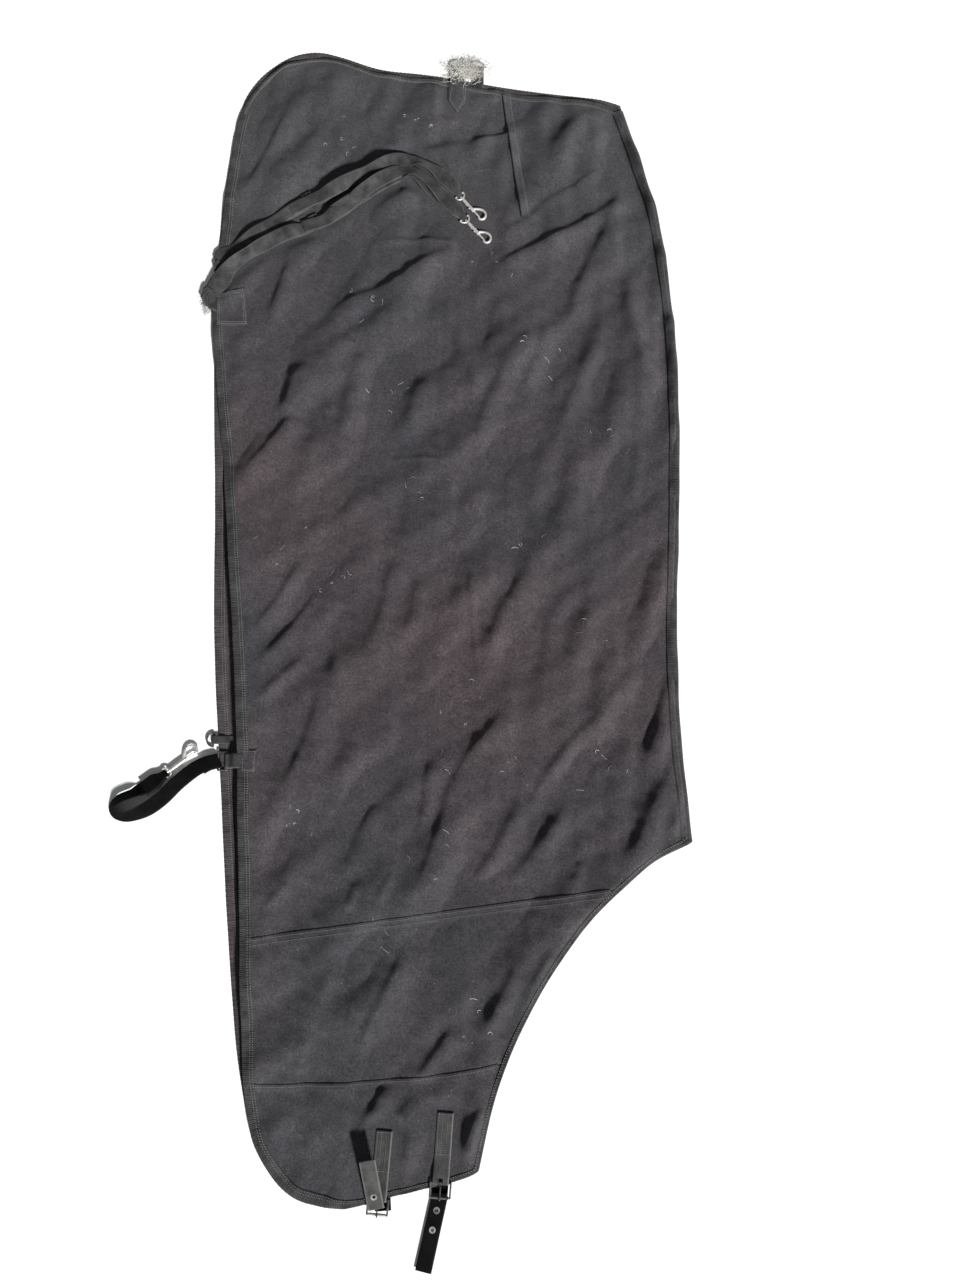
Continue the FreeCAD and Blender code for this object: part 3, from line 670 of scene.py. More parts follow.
def cloth_material(name, dark, light, faded, fade_low, fade_high):
    """Brushed cotton: mottled charcoal with faded brown patches, pale specks and a fine weave."""
    material, shader, tree = new_material(name, dark, Roughness=0.95, Sheen_Weight=0.12, Sheen_Roughness=0.6,
                                          Specular_IOR_Level=0.15)
    place = node(tree, "ShaderNodeTexCoord").outputs["Object"]
    base = ramp(tree, noise(tree, place, 9, 5, 0.6), [(0.32, dark), (0.68, light)])
    # The middle of the sheet has faded most, in patches.
    along = remap(tree, axis_of(tree, place, "Y"), From_Min=-1.0, From_Max=1.0)
    zones = ramp(tree, along, [(0.05, 0.25), (0.32, 0.55), (0.52, 1.0), (0.68, 0.35), (0.86, 0.12)])
    spots = ramp(tree, noise(tree, place, 2.2, 3, 0.55), [(fade_low, 0.12), (fade_high, 1)])
    base = mix(tree, mix(tree, 1.0, zones, spots, "MULTIPLY"), base, faded)
    grain = ramp(tree, noise(tree, place, 330, 4, 0.8), [(0.33, 0.32), (0.68, 1.68)])
    base = mix(tree, 1.0, base, grain, "MULTIPLY")
    fuzz = ramp(tree, noise(tree, place, 75, 6, 0.75), [(0.3, 0.76), (0.7, 1.24)])
    base = mix(tree, 1.0, base, fuzz, "MULTIPLY")
    specks = node(tree, "ShaderNodeTexVoronoi", Scale=75)
    tree.links.new(place, specks.inputs["Vector"])
    speck = ramp(tree, specks.outputs["Distance"], [(0.035, 1), (0.075, 0)])
    some = ramp(tree, noise(tree, place, 24, 2, 0.5), [(0.50, 0), (0.60, 1)])
    base = mix(tree, mix(tree, 1.0, speck, some, "MULTIPLY"), base, (0.27, 0.26, 0.25))
    tree.links.new(base, shader.inputs["Base Color"])
    weave = calc(tree, "ADD", wave(tree, place, 420, "X"), wave(tree, place, 420, "Y"))
    weave = calc(tree, "ADD", weave, calc(tree, "MULTIPLY", noise(tree, place, 160, 4), 1.6))
    bump(tree, shader, weave, 0.7, 0.0005)
    return material


def tape_material(name, dark, light):
    """Bound edge: ribbed tape, worn paler on its ribs. Its UVs run across and along in metres."""
    material, shader, tree = new_material(name, dark, Roughness=0.9, Sheen_Weight=0.08,
                                          Specular_IOR_Level=0.2)
    place = node(tree, "ShaderNodeTexCoord").outputs
    ribs = wave(tree, place["UV"], 110, "Y", 1.5)
    tone = worn(tree, ribs, 0.35, noise(tree, place["Object"], 45, 5, 0.65))
    tree.links.new(ramp(tree, tone, [(0.22, dark), (0.62, light)]), shader.inputs["Base Color"])
    fine = wave(tree, place["UV"], 500, "X")
    bump(tree, shader, calc(tree, "ADD", ribs, calc(tree, "MULTIPLY", fine, 0.3)), 0.7, 0.0006)
    return material


def webbing_material(name, dark, light, sheen=0.10, shine=0.15, edge=0.7):
    """Flat woven webbing with ribs along it, a twill across it and worn, paler edges."""
    material, shader, tree = new_material(name, dark, Roughness=0.75, Sheen_Weight=sheen,
                                          Specular_IOR_Level=shine)
    place = node(tree, "ShaderNodeTexCoord").outputs
    ribs = wave(tree, place["UV"], 120, "X", 0.3)
    twill = wave(tree, place["UV"], 190, "DIAGONAL", 0.4)
    tone = worn(tree, twill, 0.3, noise(tree, place["Object"], 38, 5, 0.65))
    base = ramp(tree, tone, [(0.25, dark), (0.66, light)])
    wide = remap(tree, axis_of(tree, place["UV"], "X"), From_Min=0.0, From_Max=0.025)
    rims = ramp(tree, wide, [(0.03, edge), (0.12, 0), (0.88, 0), (0.97, edge)])
    base = mix(tree, rims, base, tuple(min(1.0, c * 1.9 + 0.01) for c in light))
    tree.links.new(base, shader.inputs["Base Color"])
    bump(tree, shader, calc(tree, "ADD", calc(tree, "MULTIPLY", ribs, 0.6), twill), 0.6, 0.0005)
    return material


def metal_material(name, bright, dull, low, high):
    """Plated metal with handling marks and dull, spotted places."""
    material, shader, tree = new_material(name, bright, Roughness=0.3, Metallic=0.55)
    place = node(tree, "ShaderNodeTexCoord").outputs["Object"]
    marks = noise(tree, place, 240, 6, 0.7)
    base = ramp(tree, noise(tree, place, 110, 4, 0.6), [(0.35, dull), (0.62, bright)])
    tree.links.new(base, shader.inputs["Base Color"])
    tree.links.new(remap(tree, marks, To_Min=low, To_Max=high), shader.inputs["Roughness"])
    bump(tree, shader, marks, 0.25, 0.0002)
    return material


def thread_material(name, colour):
    material, shader, tree = new_material(name, colour, Roughness=0.8)
    place = node(tree, "ShaderNodeTexCoord").outputs["Object"]
    tone = ramp(tree, noise(tree, place, 300, 3), [(0.3, tuple(c * 0.6 for c in colour)), (0.7, colour)])
    tree.links.new(tone, shader.inputs["Base Color"])
    bump(tree, shader, noise(tree, place, 1500, 2), 0.4, 0.0002)
    return material


CLOTH = cloth_material("brushed_cotton", (0.034, 0.034, 0.040), (0.060, 0.058, 0.064),
                       (0.078, 0.055, 0.060), 0.38, 0.66)
FADED = cloth_material("faded_cotton", (0.056, 0.044, 0.048), (0.080, 0.063, 0.066),
                       (0.090, 0.068, 0.068), 0.40, 0.60)
TAPE = tape_material("binding_tape", (0.012, 0.012, 0.0125), (0.066, 0.067, 0.067))
FADED_TAPE = tape_material("faded_binding_tape", (0.024, 0.020, 0.021), (0.092, 0.079, 0.080))
WEBBING = webbing_material("strap_webbing", (0.010, 0.010, 0.0105), (0.074, 0.073, 0.072), edge=0.22)
WORN_WEBBING = webbing_material("worn_webbing", (0.020, 0.020, 0.020), (0.094, 0.093, 0.090), edge=0.6)
# Near-black webbing: the belly strap's and billets' own black, and on the left billet's root also painted
# shade.
BLACK_WEBBING = webbing_material("unfaded_webbing_and_painted_shade", (0.0016, 0.0016, 0.0017), (0.0065, 0.0065, 0.0065),
                                 0.0, 0.04, 0.5)
NICKEL = metal_material("nickel_plate", (0.84, 0.83, 0.80), (0.52, 0.50, 0.46), 0.22, 0.45)
STEEL = metal_material("buckle_steel", (0.16, 0.155, 0.15), (0.035, 0.034, 0.032), 0.2, 0.45)
BRASS = metal_material("eyelet_metal", (0.40, 0.39, 0.37), (0.12, 0.11, 0.10), 0.25, 0.5)
THREAD = thread_material("grey_thread", (0.24, 0.235, 0.225))
FUZZ = thread_material("dark_fuzz", (0.075, 0.077, 0.066))
LINT = thread_material("pale_lint", (0.66, 0.64, 0.58))


# ---------- the cloth ----------

# Each half: its outline, the height of its cloth, its cloth, its tape and its cloth's grid step.
HALVES = ((near, near_z, CLOTH, TAPE, 4 * MM), (far, far_z, FADED, FADED_TAPE, 12 * MM))
PANEL_WIDTH = 0.78       # about how wide and how long the panels are, to choose their grids
PANEL_LENGTHS = {"rear": 1.52, "shoulder": 0.25, "chest": 0.19}
WITHERS_Y = -0.450       # where the spine ends and the neckline starts
TRIM = {"near": [], "far": []}


def edge_lines(half, count_across, rows):
    """The four edge lines of each panel, bottom to top."""
    tail = half.tail_line(count_across)
    front = half.front_line(count_across)
    body_seam = half.seam_line(0, count_across)
    chest_seam = half.seam_line(1, count_across)
    lines = {"rear": (body_seam, tail), "shoulder": (chest_seam, body_seam), "chest": (front, chest_seam)}
    made = {}
    for panel, (bottom, top) in lines.items():
        count = rows[panel]
        left = half.side_line(half.left, bottom[0][1], top[0][1], count)
        right = half.side_line(half.right, bottom[-1][1], top[-1][1], count)
        left[0], left[-1] = bottom[0], top[0]
        right[0], right[-1] = bottom[-1], top[-1]
        made[panel] = (bottom, top, left, right)
    return made


def make_panels():
    """The three cloth panels of each half, each a wrinkled sheet."""
    for half, height, cloth, _, step in HALVES:
        rows = {panel: int(length / step) for panel, length in PANEL_LENGTHS.items()}
        for panel, lines in edge_lines(half, int(PANEL_WIDTH / step), rows).items():
            plan = coons(*lines)
            grid = np.concatenate([plan, height(plan[..., 0], plan[..., 1])[..., None]], axis=-1)
            thing = grid_object(f"{half.side}_{panel}_cloth", grid)
            thicken(thing, 1.1 * MM)
            finish(thing, cloth, f"{half.side}_half", "cloth", f"{half.side}_{panel}_panel")


def boundary(half):
    """The bound edges of one half as lines with the cloth on their right."""
    tail = half.tail_line(260)
    front = half.front_line(260)
    neck_y = np.linspace(WITHERS_Y, front[-1][1], 300)
    return {
        "hem": half.side_line(half.left, front[0][1], tail[0][1], 600),
        "tail": tail,
        "neck": np.stack([half.right(neck_y), neck_y], axis=1),
        "front": front[::-1],
    }


def soften(line, passes=6):
    """Takes the facets of a read outline away without moving its ends."""
    line = line.copy()
    for _ in range(passes):
        line[1:-1] = 0.25 * line[:-2] + 0.5 * line[1:-1] + 0.25 * line[2:]
    return line


def inward(line):
    """The direction to the right of a plan line."""
    t = tangents(line)
    return np.stack([t[:, 1], -t[:, 0]], axis=1)


# The tape's section: how far in from the edge, and how far above the cloth, in mm.
TAPE_SECTION = [(18, 0.75), (17.4, 1.15), (13, 1.35), (8, 1.45), (3, 1.4), (0, 1.1), (-1.3, 0.2),
                (-1.2, -0.7), (0.5, -1.15), (6, -1.2), (17, -1.1)]
# Where the tape is rolled narrower, as shares of the tape's full width along its edge.
TAPE_SCALE = {
    "near_neck_tape": ((0, 0.45), (1, 0.4)),
    "near_front_tape": ((0, 0.4), (0.38, 0.45), (0.5, 0.9), (1, 1.0)),
    "near_tail_tape": ((0, 0.55), (0.3, 0.35), (0.55, 0.5), (1, 0.7)),
}
PUCKER = 0.35            # how high its stitching ribs the tape, in mm


def make_binding(half, edge, line, height, material):
    """Tape folded over an edge, puckered by its stitching."""
    name, body = f"{half.side}_{edge}_tape", f"{half.side}_half"
    scale = TAPE_SCALE.get(name, ((0, 1), (1, 1)))
    line = resample(soften(line), 2.2 * MM)
    side = inward(line)
    s = run_length(line)
    state = np.random.default_rng(len(name) * 13 + len(line))
    ribs = np.sin(2 * math.pi * s / (7.5 * MM) + np.cumsum(state.normal(0, 0.22, len(line))))
    grid = np.zeros((len(line), len(TAPE_SECTION), 3))
    uv = np.zeros((len(line), len(TAPE_SECTION), 2))
    share = np.interp(s / s[-1], [p for p, _ in scale], [w for _, w in scale])
    for k, (inset, rise) in enumerate(TAPE_SECTION):
        plan = line + side * (inset * share)[:, None] * MM
        held = np.interp(inset, [0, 2, 6, 10, 14, 18], [1, 1, 0.9, 0.5, 0.15, 0.0])
        ribbed = PUCKER * MM * ribs * held * (1 if rise > 0 else 0)
        grid[:, k, :2] = plan
        grid[:, k, 2] = height(plan[:, 0], plan[:, 1]) + rise * MM + ribbed
        uv[:, k, 0] = inset * MM
        uv[:, k, 1] = s
    thing = grid_object(name, grid, uv)
    thicken(thing, 0.5 * MM)
    finish(thing, material, body, "binding_tape", f"{half.side}_{edge}_binding")
    TRIM[half.side].append(thing)
    for inset in (15.6, 11.2):
        stitch_line(line + side * (inset * share)[:, None] * MM, height, 1.55 * MM, body)


STITCHES = {}


def stitch_line(line, height, lift, body, pitch=4.2, length=2.9):
    """Keeps a row of stitches, pitch and length in mm, to be made into one piece for each body later."""
    line = resample(np.asarray(line, float), pitch * MM)
    if line.shape[1] == 2:
        z = height(line[:, 0], line[:, 1]) + lift
        line = np.column_stack([line, z])
    t = tangents(line)
    jitter = np.random.default_rng(len(line)).normal(0, 0.16 * MM, (len(line), 2))
    line = line.copy()
    line[:, :2] += jitter
    STITCHES.setdefault(body, []).append((line, t, length * MM))


def make_stitches():
    """Every kept stitch as a small rounded thread that dips into the cloth at its ends."""
    around = 5
    radius = 0.48 * MM
    # Along the stitch as a share of its length, its girth as a share of the radius, its rise in mm.
    profile = [(-0.5, 0.15, -0.35), (-0.32, 0.85, 0.0), (0.0, 1.0, 0.12), (0.32, 0.85, 0.0),
               (0.5, 0.15, -0.35)]
    for body, rows in STITCHES.items():
        points, faces = [], []
        for line, direction, length in rows:
            for centre, t in zip(line, direction):
                side, up = sideways(t)
                faces += tube_faces(len(points), len(profile), around)
                for along, girth, rise in profile:
                    middle = centre + t * along * length + up * rise * MM
                    points += ring_points(middle, side, up, radius * girth, around)
        thing = new_object(f"stitching_{body}", points, faces)
        shade_smooth(thing)
        finish(thing, THREAD, body, "binding_tape")


def make_bindings():
    """The tape along each half's hem, tail, neckline and front."""
    for half, height, _, tape, _ in HALVES:
        for edge, line in boundary(half).items():
            make_binding(half, edge, line, height, tape)


# How a lapped seam is made: how far across it in mm, and how far above the cloth.
LAP = [(1.6, 0.2), (1.0, 1.9), (0.0, 2.3), (-2.0, 2.0), (-5.0, 1.4), (-8.0, 1.0)]


def make_lap(name, line, half, height, material, wide, rows, high):
    """A lapped fold of cloth along a line, with its stitch rows as (mm across, height) pairs."""
    side = -inward(line)
    profile = LAP + [(-wide, 0.8), (-wide - 1.5, 0.2)]
    grid = np.zeros((len(line), len(profile), 3))
    for k, (across, rise) in enumerate(profile):
        plan = line + side * across * MM
        grid[:, k, :2] = plan
        grid[:, k, 2] = height(plan[:, 0], plan[:, 1]) + (0.4 + rise * high) * MM
    thing = grid_object(name, grid)
    finish(thing, material, f"{half.side}_half", "cloth")
    TRIM[half.side].append(thing)
    for across, rise in rows:
        stitch_line(line - side * across * MM, height, (0.7 + rise * high) * MM, f"{half.side}_half")


def make_seams():
    """Each seam is lapped, with rows of stitching below its fold; so is the dart."""
    for half, height, cloth, _, _ in HALVES:
        high = 0.62 if half is near else 0.4
        for number, wide, rows in ((0, 14, [(3.0, 1.8), (11.0, 0.9)]), (1, 9, [(3.0, 1.8)])):
            line = half.seam_line(number, 300)[5:-11]
            make_lap(f"{half.side}_{PANELS[number]}_seam", line, half, height, cloth, wide, rows, high)
    dart = resample(smooth_line(DART, 4 * MM), 4 * MM)
    make_lap("near_dart_fold", dart[::-1], near, near_z, CLOTH, 12, [(13.0, 0.25)], 1.9)


# The spine roll's section: how far in from the outer edge in mm, and how far up from the ground (0)
# to the roll's top (1).
ROLL_SECTION = [(24, 0.05), (12, 0.05), (4, 0.06), (0.6, 0.16), (-0.6, 0.36), (0.4, 0.62), (3.0, 0.88),
                (6.5, 1.0), (10.0, 0.95), (13.0, 0.80)]


def make_spine_roll():
    """The ribbed tape at the spine: from under the far half, round the edge and over the near half."""
    y = np.linspace(near.SPINE_TOP_Y["near"] - 0.004, WITHERS_Y - 0.002, 620)
    outer = far.right(y)
    inner = near.right(y)
    wobble = 0.7 * MM * np.sin(y * 47) * np.sin(y * 13 + 1)
    top = NEAR_LEVEL + roll_height(y) + 1.3 * MM
    state = np.random.default_rng(3)
    ribs = np.sin(2 * math.pi * y / (6.5 * MM) + np.cumsum(state.normal(0, 0.18, len(y))))
    points = []
    for inset, up in ROLL_SECTION:
        x = outer - inset * MM + (wobble if up > 0.3 else 0)
        z = 0.6 * MM + up * (top - 0.6 * MM) + (0.35 * MM * ribs if up > 0.3 else 0)
        points.append(np.stack([x, y, z], axis=1))
    for inset, rise in ((8.5, 1.3), (11.5, 0.7)):
        x = inner - inset * MM
        points.append(np.stack([x, y, near_z(x, y) + rise * MM], axis=1))
    grid = np.stack(points, axis=1)
    uv = np.zeros(grid.shape[:2] + (2,))
    uv[..., 0] = run_length(grid[len(y) // 2])[None]
    uv[..., 1] = y[:, None]
    thing = grid_object("spine_roll_tape", grid, uv)
    thicken(thing, 0.7 * MM)
    finish(thing, TAPE, None, "binding_tape", "spine_tape")
    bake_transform(thing)


# ---------- straps ----------

SPOTS = np.linspace(-1, 1, 9)      # places across a ribbon, from its left edge to its right
SLOT_COLUMNS = (3, 5)              # the two of them that its slot lies between
EDGE_THICK = 0.45        # how thick a ribbon is at its edges, as a share of its thickness
WEB = 25 * MM            # the webbing's width and its thickness
WEB_THICK = 1.5 * MM
GATHER = 12.5 * MM       # its width in a snap's eye, and over what length it narrows to that
TAPER = 18 * MM
FOLD = 2.4 * MM          # how far its middle runs from a bar it turns round
LEG_Z = 10.4 * MM        # the height of the bars in the leg straps' snaps
# The bar in each snap's eye: its x and y, and which way the strap comes to it, in degrees.
EYES = {"near": (0.036, 0.659, -50), "far": (0.027, 0.705, -50), "belly": (-0.452, -0.342, 37)}


def ribbon(name, line, width, thick, material, body, nodes=(), sides=None, bank=0.0, cup=0.0,
           slot_rows=None, slot="webbing"):
    """Flat webbing along a 3-D line: a closed flat section, banked and cupped as it goes.

    sides gives the direction across it at each point; slot_rows leaves a slot open along its middle.
    """
    line = np.asarray(line, float)
    t = tangents(line)
    if sides is None:
        sides = np.cross(UP, t)
    sides = np.broadcast_to(np.asarray(sides, float), line.shape)
    sides = sides / np.maximum(np.linalg.norm(sides, axis=1), 1e-9)[:, None]
    up = np.cross(t, sides)
    angle = np.broadcast_to(np.asarray(bank, float), (len(line),))[:, None]
    across = sides * np.cos(angle) + up * np.sin(angle)
    normal = np.cross(t, across)
    width = np.broadcast_to(np.asarray(width, float), (len(line),))[:, None]
    cup = np.broadcast_to(np.asarray(cup, float), (len(line),))[:, None]
    section = [(p, 1.0) for p in SPOTS] + [(p, -1.0) for p in SPOTS[::-1]]
    columns = len(section)
    grid = np.zeros((len(line), columns, 3))
    uv = np.zeros((len(line), columns, 2))
    s = run_length(line)
    for k, (p, face) in enumerate(section):
        half = thick / 2 * face * (EDGE_THICK if abs(p) == 1 else 1.0)
        grid[:, k] = line + across * width / 2 * p + normal * (half + cup * (p * p - 0.33))
        uv[:, k, 0] = (p + 1) / 2 * WEB
        uv[:, k, 1] = s
    skip = None
    if slot_rows:
        skip = (*slot_rows, *SLOT_COLUMNS)
    thing = grid_object(name, grid, uv, closed_across=True, slot=skip)
    return finish(thing, material, body, slot, *nodes)


def heading(turn):
    """The level direction at an angle in degrees from +X."""
    angle = math.radians(turn)
    return np.array([math.cos(angle), math.sin(angle), 0.0])


def half_turn(place, turn, level, radius, steps=7):
    """A half turn of webbing round a bar, from its lower run to its upper run."""
    ahead = heading(turn)
    angles = np.linspace(-math.pi / 2, math.pi / 2, steps)
    centre = np.array([place[0], place[1], level])
    return [tuple(centre + ahead * radius * math.cos(a) + UP * radius * math.sin(a)) for a in angles]


def eye_line(kind, distances, z):
    """Points that lead up to a snap's eye, given as distances before its bar."""
    x, y, turn = EYES[kind]
    ahead = heading(turn)
    return [(x - d * ahead[0], y - d * ahead[1], z) for d in distances]


def side_of(turn):
    """The level direction to the left of a heading."""
    return np.cross(UP, heading(turn))


def gathered(line, end, held=2 * MM):
    """Width that narrows to the snap's eye over the last stretch."""
    away = np.linalg.norm(line[:, :2] - np.array(end[:2]), axis=1)
    return GATHER + (WEB - GATHER) * smoothstep((away - held) / TAPER)


# How each run leans, in radians, at fractions of its length. Positive lifts its left edge.
LOWER_TWIST = {
    "near": [(0, 0), (0.09, 0.05), (0.15, 0.55), (0.24, 1.15), (0.33, 0.55), (0.42, 0.1), (0.56, 0.7),
             (0.68, 0.5), (0.78, -0.5), (0.88, -0.2), (1, 0)],
    "far": [(0, 0), (0.12, 0.1), (0.25, 0.25), (0.42, 0.1), (0.55, 0.4), (0.66, 0.9), (0.76, -0.2),
            (0.9, 0.2), (1, 0)],
}
UPPER_TWIST = {
    "near": [(0, 0), (0.12, 0.55), (0.26, 0.2), (0.42, 0.95), (0.54, 0.3), (0.64, -0.75), (0.78, -0.15),
             (0.9, 0.1), (1, 0)],
    "far": [(0, 0), (0.14, 0.30), (0.28, 0.75), (0.42, 0.35), (0.52, 1.05), (0.62, 0.15), (0.72, -0.6),
            (0.86, 0.1), (1, 0)],
}
# Where the slides are, in plan.
SLIDES = {"near": (-0.234, 0.650), "far": (-0.245, 0.6945)}


def make_leg_strap(side, slide_at, root_y, inset_mm, spread_mm, sway_mm):
    """A leg strap: its root turned over the hem, one run to the slide and a doubled run to the snap.

    slide_at is the route point at the slide. The root turns round the hem at root_y, inset_mm further
    in than x = -0.4245, and is wider there by up to spread_mm; the upper run sways by up to sway_mm.
    """
    body = f"{side}_leg_strap"
    route = LEG_ROUTES[side][1:]
    inset = inset_mm * MM
    root = [(-0.376, root_y - 0.012, 3.2 * MM), (-0.402, root_y - 0.010, 3.2 * MM),
            (inset - 0.4205, root_y - 0.006, 4.0 * MM), (inset - 0.4245, root_y - 0.002, 6.2 * MM),
            (inset - 0.418, root_y + 0.007, 8.3 * MM), (-0.402, root_y + 0.022, 8.4 * MM)]
    eye = EYES[side]
    path = root + [(x, y, 8.2 * MM) for x, y in route]
    path += eye_line(side, [16 * MM, 6 * MM, 0], LEG_Z - FOLD)
    lower = resample(smooth_line(path, 3 * MM), 3 * MM)
    s = run_length(lower)
    wider = spread_mm * MM * smoothstep((0.105 - s) / 0.06) * smoothstep(s / 0.03)
    width = gathered(lower, eye) + wider
    bank, cup = strap_twist(lower, LOWER_TWIST[side], side, width)
    thing = ribbon(f"{side}_leg_strap_lower", lower, width, WEB_THICK, WEBBING, None,
                   nodes=[f"{side}_leg_strap_anchor"], bank=bank, cup=cup)
    # The blend leans a little along Y, so only the root stays behind, not the low edges further on.
    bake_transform(thing)

    top = [(x, y, 12.8 * MM) for x, y in route[slide_at - 1:]]
    top += eye_line(side, [16 * MM, 6 * MM, 0], LEG_Z + FOLD)
    upper = resample(smooth_line(top, 3 * MM), 3 * MM)
    turned = np.array(half_turn(eye, eye[2], LEG_Z, FOLD)[::-1][1:])
    line = np.vstack([upper, turned])
    s = run_length(line)
    middle = smoothstep(s / 0.04) * smoothstep((s[-1] - s) / 0.06)
    shift = middle * sway_mm * MM * np.sin(s * 17 + slide_at)
    t = tangents(line)
    line[:, 0] += -t[:, 1] * shift
    line[:, 1] += t[:, 0] * shift
    at_eye = np.arange(len(line))[:, None] >= len(upper) - 3
    sides = np.where(at_eye, side_of(eye[2])[None], np.cross(UP, tangents(line)))
    width = gathered(line, eye)
    bank, cup = strap_twist(line, UPPER_TWIST[side], side, width)
    line[:, 2] += middle * 1.5 * MM * (1 + np.sin(s * 23))
    ribbon(f"{side}_leg_strap_upper", line, width, WEB_THICK, WEBBING, body,
           nodes=[f"{side}_leg_strap_web"], sides=sides, bank=bank, cup=cup)


def strap_twist(line, twist, side, width):
    """How a run leans and cups, flat in its slide; raises the run so its low edge stays on the cloth."""
    s = run_length(line)
    share = s / s[-1]
    bank = np.interp(share, [p for p, _ in twist], [a for _, a in twist])
    for _ in range(12):
        bank[1:-1] = 0.25 * bank[:-2] + 0.5 * bank[1:-1] + 0.25 * bank[2:]
    away = np.hypot(line[:, 0] - SLIDES[side][0], line[:, 1] - SLIDES[side][1])
    free = 1 - np.exp(-(away / 0.032) ** 6)
    ends = smoothstep(s / 0.03) * smoothstep((s[-1] - s) / 0.03)
    bank = (bank + 0.16 * np.sin(s * 61)) * free * ends
    line[:, 2] += width / 2 * np.abs(np.sin(bank)) * 0.9
    return bank, 1.5 * MM * np.sin(s * 44 + 1) * free * ends


def make_belly_strap():
    """The belly strap: round the ring's bar, out in a loop that leans on its edge, and back to its snap."""
    bar = (-0.366, -0.321)
    level = 5.25 * MM
    start = [(-0.392, -0.331, level + FOLD + 0.6 * MM), (-0.380, -0.3245, level + FOLD + 0.3 * MM)]
    turned = half_turn(bar, 0, level, FOLD)[::-1]
    out = [(-0.386, -0.3255, 3.0 * MM), (-0.406, -0.336, 4.2 * MM), (-0.431, -0.357, 6.0 * MM),
           (-0.455, -0.382, 7.5 * MM), (-0.480, -0.400, 7.5 * MM), (-0.508, -0.411, 8.0 * MM),
           (-0.528, -0.407, 8.6 * MM), (-0.534, -0.395, 8.8 * MM), (-0.524, -0.383, 8.2 * MM),
           (-0.503, -0.374, 5.5 * MM), (-0.482, -0.363, 3.6 * MM)]
    end = eye_line("belly", [16 * MM, 6 * MM, 0], level - FOLD)
    close = half_turn(EYES["belly"], EYES["belly"][2], level, FOLD)
    back = eye_line("belly", [7 * MM, 16 * MM, 30 * MM, 42 * MM], level + FOLD)
    line = resample(smooth_line(start + turned + out + end + close[1:] + back, 1.5 * MM), 1.5 * MM)
    s = run_length(line)
    eye = EYES["belly"]
    near_bar = np.linalg.norm(line[:, :2] - np.array(bar), axis=1) < 9 * MM
    near_eye = np.linalg.norm(line[:, :2] - np.array(eye[:2]), axis=1) < 7 * MM
    sides = np.cross(UP, tangents(line))
    sides[near_bar] = -side_of(0)
    sides[near_eye] = side_of(eye[2])
    sides[s > s[-1] - 0.052] = side_of(eye[2])
    sides[s < 0.034] = -side_of(24)
    lean = smoothstep((s - 0.075) / 0.04) * smoothstep((s[-1] - 0.075 - s) / 0.04)
    bank = -lean * (0.30 + 0.55 * smoothstep((s - 0.16) / 0.05))
    # Its low edge stays clear of the floor.
    clear = WEB / 2 * np.sin(-bank) + 1.9 * MM
    line[:, 2] = np.where(lean > 0.02, np.maximum(line[:, 2], clear), line[:, 2])
    line[2:-2, 2] = sum(line[k:len(line) - 4 + k, 2] for k in range(5)) / 5
    ribbon("belly_strap_webbing", line, gathered(line, eye, 3 * MM), WEB_THICK, BLACK_WEBBING, "belly_strap",
           nodes=["belly_strap_web"], sides=sides, bank=bank)


# ---------- tabs, chapes and billets ----------

END_THICK = 1.6 * MM     # how thick the webbing of tabs, chapes and billets is


def wrapped(name, place, turn, level, runs, width, material, body, nodes, ground, slot_half=0.0,
            under=20 * MM, lift=1.4 * MM, settle=26 * MM, slot="webbing"):
    """A strap end wrapped round a bar. turn points away from the strap; runs is how far it goes back.

    Its upper run comes down from the bar and lies on the ground surface. slot_half is how far behind
    the bar a slot for a buckle's tongue reaches.
    """
    ahead = heading(turn)
    lower = [(-under, level - FOLD), (-under * 0.4, level - FOLD)]
    angles = np.linspace(-math.pi / 2, math.pi / 2, 7)
    arc = [(FOLD * math.cos(a), level + FOLD * math.sin(a)) for a in angles]
    upper = [(-d, None) for d in np.arange(4 * MM, runs, 4 * MM)] + [(-runs, None)]
    profile = []
    for u, z in lower + arc + upper:
        x, y = place[0] + ahead[0] * u, place[1] + ahead[1] * u
        if z is None:
            flat = float(ground(np.array(x), np.array(y))) + lift
            drop = smoothstep((-u - 3 * MM) / settle)
            z = (level + FOLD) * (1 - drop) + flat * drop
        profile.append((u, z))
    rough = np.array([(place[0] + ahead[0] * u, place[1] + ahead[1] * u, z) for u, z in profile])
    line = resample(smooth_line(rough, 1.2 * MM), 1.5 * MM)
    back = -(line[:, :2] - np.array(place[:2])) @ ahead[:2]
    s = run_length(line)
    on_top = s > under + 2 * FOLD
    wide = width(back, on_top) if callable(width) else width
    slot_rows = None
    if slot_half:
        open_rows = np.where(back < slot_half)[0]
        slot_rows = (int(open_rows[0]), int(open_rows[-1]))
    ribbon(name, line, wide, END_THICK, material, body, nodes=nodes, sides=side_of(turn),
           slot_rows=slot_rows, slot=slot)


def stitch_sides(corners, lift, pitch, length):
    """Rows of stitches on the near half along the lines between some corners."""
    for a, b in zip(corners, corners[1:]):
        stitch_line(np.array([a, b]), near_z, lift, "near_half", pitch, length)


def box_stitches(place, turn, start, end, half, inner, lift):
    """Stitch rows in a rectangle between two distances back from a bar, and two more rows inside it."""
    ahead, side = heading(turn)[:2], side_of(turn)[:2]

    def spot(back, across):
        return np.array(place[:2]) - ahead * back + side * across

    box = [spot(start, -half), spot(end, -half), spot(end, half), spot(start, half), spot(start, -half)]
    stitch_sides(box, lift, 3.2, 2.2)
    for across in (-inner, inner):
        stitch_sides([spot(start, across), spot(end, across)], lift, 3.2, 2.2)


